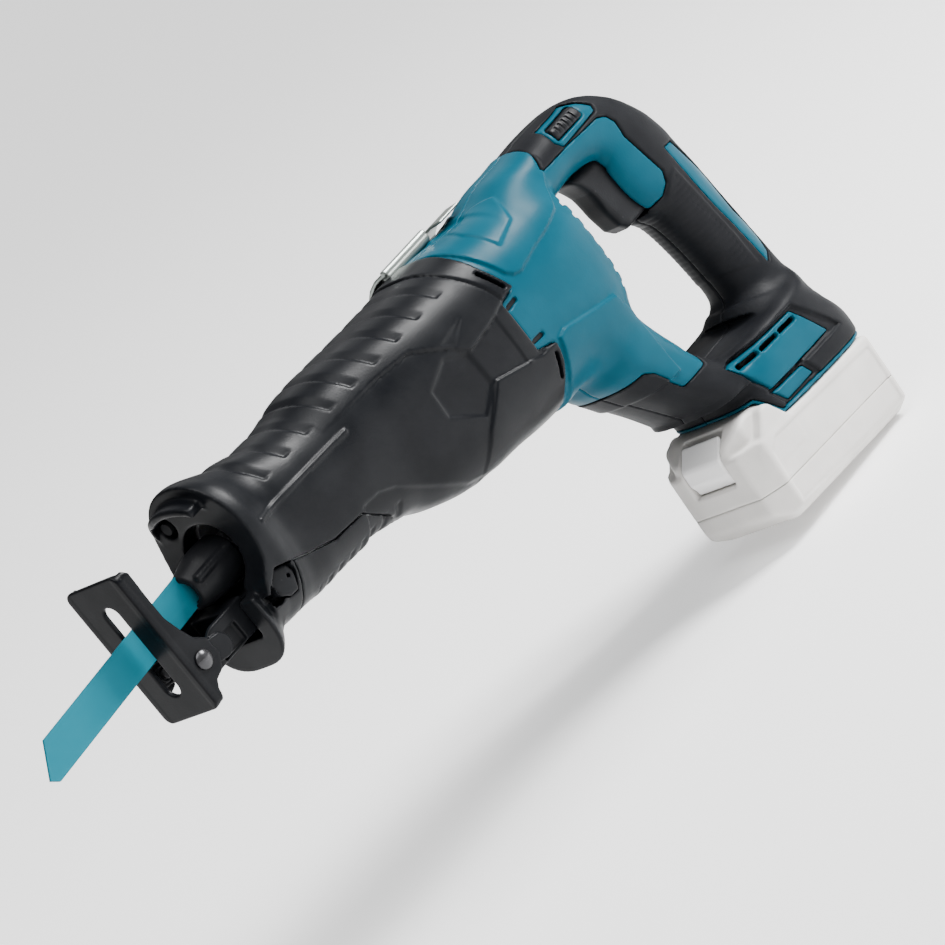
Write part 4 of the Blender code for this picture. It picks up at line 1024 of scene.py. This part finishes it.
def dress_cad_nodes():
    """Give every CAD node that stays visible its finish."""
    finishes = {
        STEEL: ["spindle", "clamp_pin", "crank", "crank_roller", "bevel_gear", "crank_bearing",
                "motor_bearing_front", "motor_bearing_rear", "motor_shaft", "motor_pinion",
                "trigger_spring", "hook_pin"]
        + [f"housing_screw_{k}" for k in range(1, SCREW_COUNT + 1)],
        DARK_STEEL: ["shoe_bracket", "shoe_rivet_left", "shoe_rivet_right", "shoe_plate",
                     "rotor", "stator"],
        BLACK: ["clamp_sleeve", "shoe_lock_button", "lock_off_slider", "switch_block",
                "controller", "terminal_block", "motor_fan", "spindle_seal"],
        CAST: ["gear_housing", "gear_housing_cover"], BRONZE: ["front_bush"],
        COPPER: ["stator_coil_front"], BLADE: ["blade"], SHADED_LENS: ["led_lens"],
        PALE: ["battery_case_lower", "battery_case_upper"], BUTTON: ["battery_button"],
        DARK: ["trigger", "battery_cells"], HOOK: ["hook"],
    }
    for material, names in finishes.items():
        for name in names:
            mesh = frame["nodes"][name].data
            mesh.materials.clear()
            mesh.materials.append(material)


# ---------------------------------------------------------------- stage

CAMERA_AIM = (0, 0, -62)
CAMERA_DISTANCE = 2200
CAMERA_AZIMUTH, CAMERA_ELEVATION, CAMERA_ROLL = 38.2, 13.7, -38.4
FOCAL_PIXELS, IMAGE_PIXELS, SENSOR_MM = 4510, 945, 36.0


def build_camera():
    """Long lens on the tool's left front, rolled so that the tool stands slanted."""
    az, el, roll = (math.radians(v) for v in (CAMERA_AZIMUTH, CAMERA_ELEVATION, CAMERA_ROLL))
    back = Vector((math.sin(az) * math.cos(el), math.cos(az) * math.cos(el), math.sin(el)))
    right = Vector((0, 0, 1)).cross(back).normalized()
    up = back.cross(right)
    turned_right = math.cos(roll) * right + math.sin(roll) * up
    turned_up = -math.sin(roll) * right + math.cos(roll) * up
    camera = bpy.data.objects.new("camera", bpy.data.cameras.new("camera"))
    camera.data.sensor_width = SENSOR_MM
    camera.data.lens = FOCAL_PIXELS / IMAGE_PIXELS * SENSOR_MM
    camera.data.clip_start, camera.data.clip_end = 0.01, 50
    rotation = Matrix((turned_right, turned_up, back)).transposed().to_4x4()
    camera.matrix_world = Matrix.Translation(place(*CAMERA_AIM)
                                             + back * CAMERA_DISTANCE * MM) @ rotation
    bpy.context.scene.collection.objects.link(camera)
    bpy.context.scene.camera = camera


def add_light(name, where, aim, size, power):
    """Square lamp of the given size in metres and power in watts, turned towards aim."""
    light = bpy.data.lights.new(name, "AREA")
    light.size = size
    light.energy = power
    obj = bpy.data.objects.new(name, light)
    obj.location = where
    obj.rotation_euler = (aim - Vector(where)).to_track_quat("-Z", "Y").to_euler()
    bpy.context.scene.collection.objects.link(obj)


# The wide overhead light: strength, spread and the direction it comes from.
SUN_STRENGTH, SUN_SPREAD = 3.3, math.radians(50)
OVERHEAD_FROM = (0.12, 0.3, 0.95)
# Square lamps: name, place in metres, size and power.
LAMPS = [("key", (-1.15, 0.8, 1.3), 0.6, 80), ("fill", (1.5, 1.7, 0.7), 1.5, 4),
         ("rim", (-1.2, -1.1, 1.3), 1.0, 3)]
LAMPS_AIM = (0, 0, -50)
FLOOR_HALF, FLOOR_BELOW = 12, 0.0005
FLOOR_WHITE, FLOOR_GLOW, WORLD_STRENGTH = 0.9, 0.4, 0.2


def build_stage():
    """Pale floor, even surrounding light, overhead light and three lamps."""
    mesh = bpy.data.meshes.new("floor")
    bm = bmesh.new()
    bmesh.ops.create_grid(bm, x_segments=2, y_segments=2, size=FLOOR_HALF)
    bm.to_mesh(mesh)
    bm.free()
    floor = bpy.data.objects.new("floor", mesh)
    floor.location.z = CAD_BOX[0].z - FLOOR_BELOW
    material = bpy.data.materials.new("floor_pale")
    material.use_nodes = True
    shader = material.node_tree.nodes["Principled BSDF"]
    shader.inputs["Base Color"].default_value = (FLOOR_WHITE, FLOOR_WHITE, FLOOR_WHITE, 1)
    shader.inputs["Roughness"].default_value = 0.9
    shader.inputs["Emission Color"].default_value = (1, 1, 1, 1)
    shader.inputs["Emission Strength"].default_value = FLOOR_GLOW
    mesh.materials.append(material)
    bpy.context.scene.collection.objects.link(floor)
    world = bpy.data.worlds.new("studio")
    world.use_nodes = True
    background = world.node_tree.nodes["Background"]
    background.inputs["Color"].default_value = (1, 1, 1, 1)
    background.inputs["Strength"].default_value = WORLD_STRENGTH
    bpy.context.scene.world = world
    sun = bpy.data.lights.new("overhead", "SUN")
    sun.energy = SUN_STRENGTH
    sun.angle = SUN_SPREAD
    obj = bpy.data.objects.new("overhead", sun)
    obj.rotation_euler = Vector(OVERHEAD_FROM).to_track_quat("Z", "Y").to_euler()
    bpy.context.scene.collection.objects.link(obj)
    for name, where, size, power in LAMPS:
        add_light(name, where, place(*LAMPS_AIM), size, power)


build_camera()
dress_cad_nodes()
build_housing()
build_slot_shade_strips()
build_boot()
build_trigger()
build_lock_tab()
build_lock_off()
build_sleeve()
build_shoe()
build_bracket()
build_rivets()
build_hook()
build_battery()
build_battery_button()
build_stage()
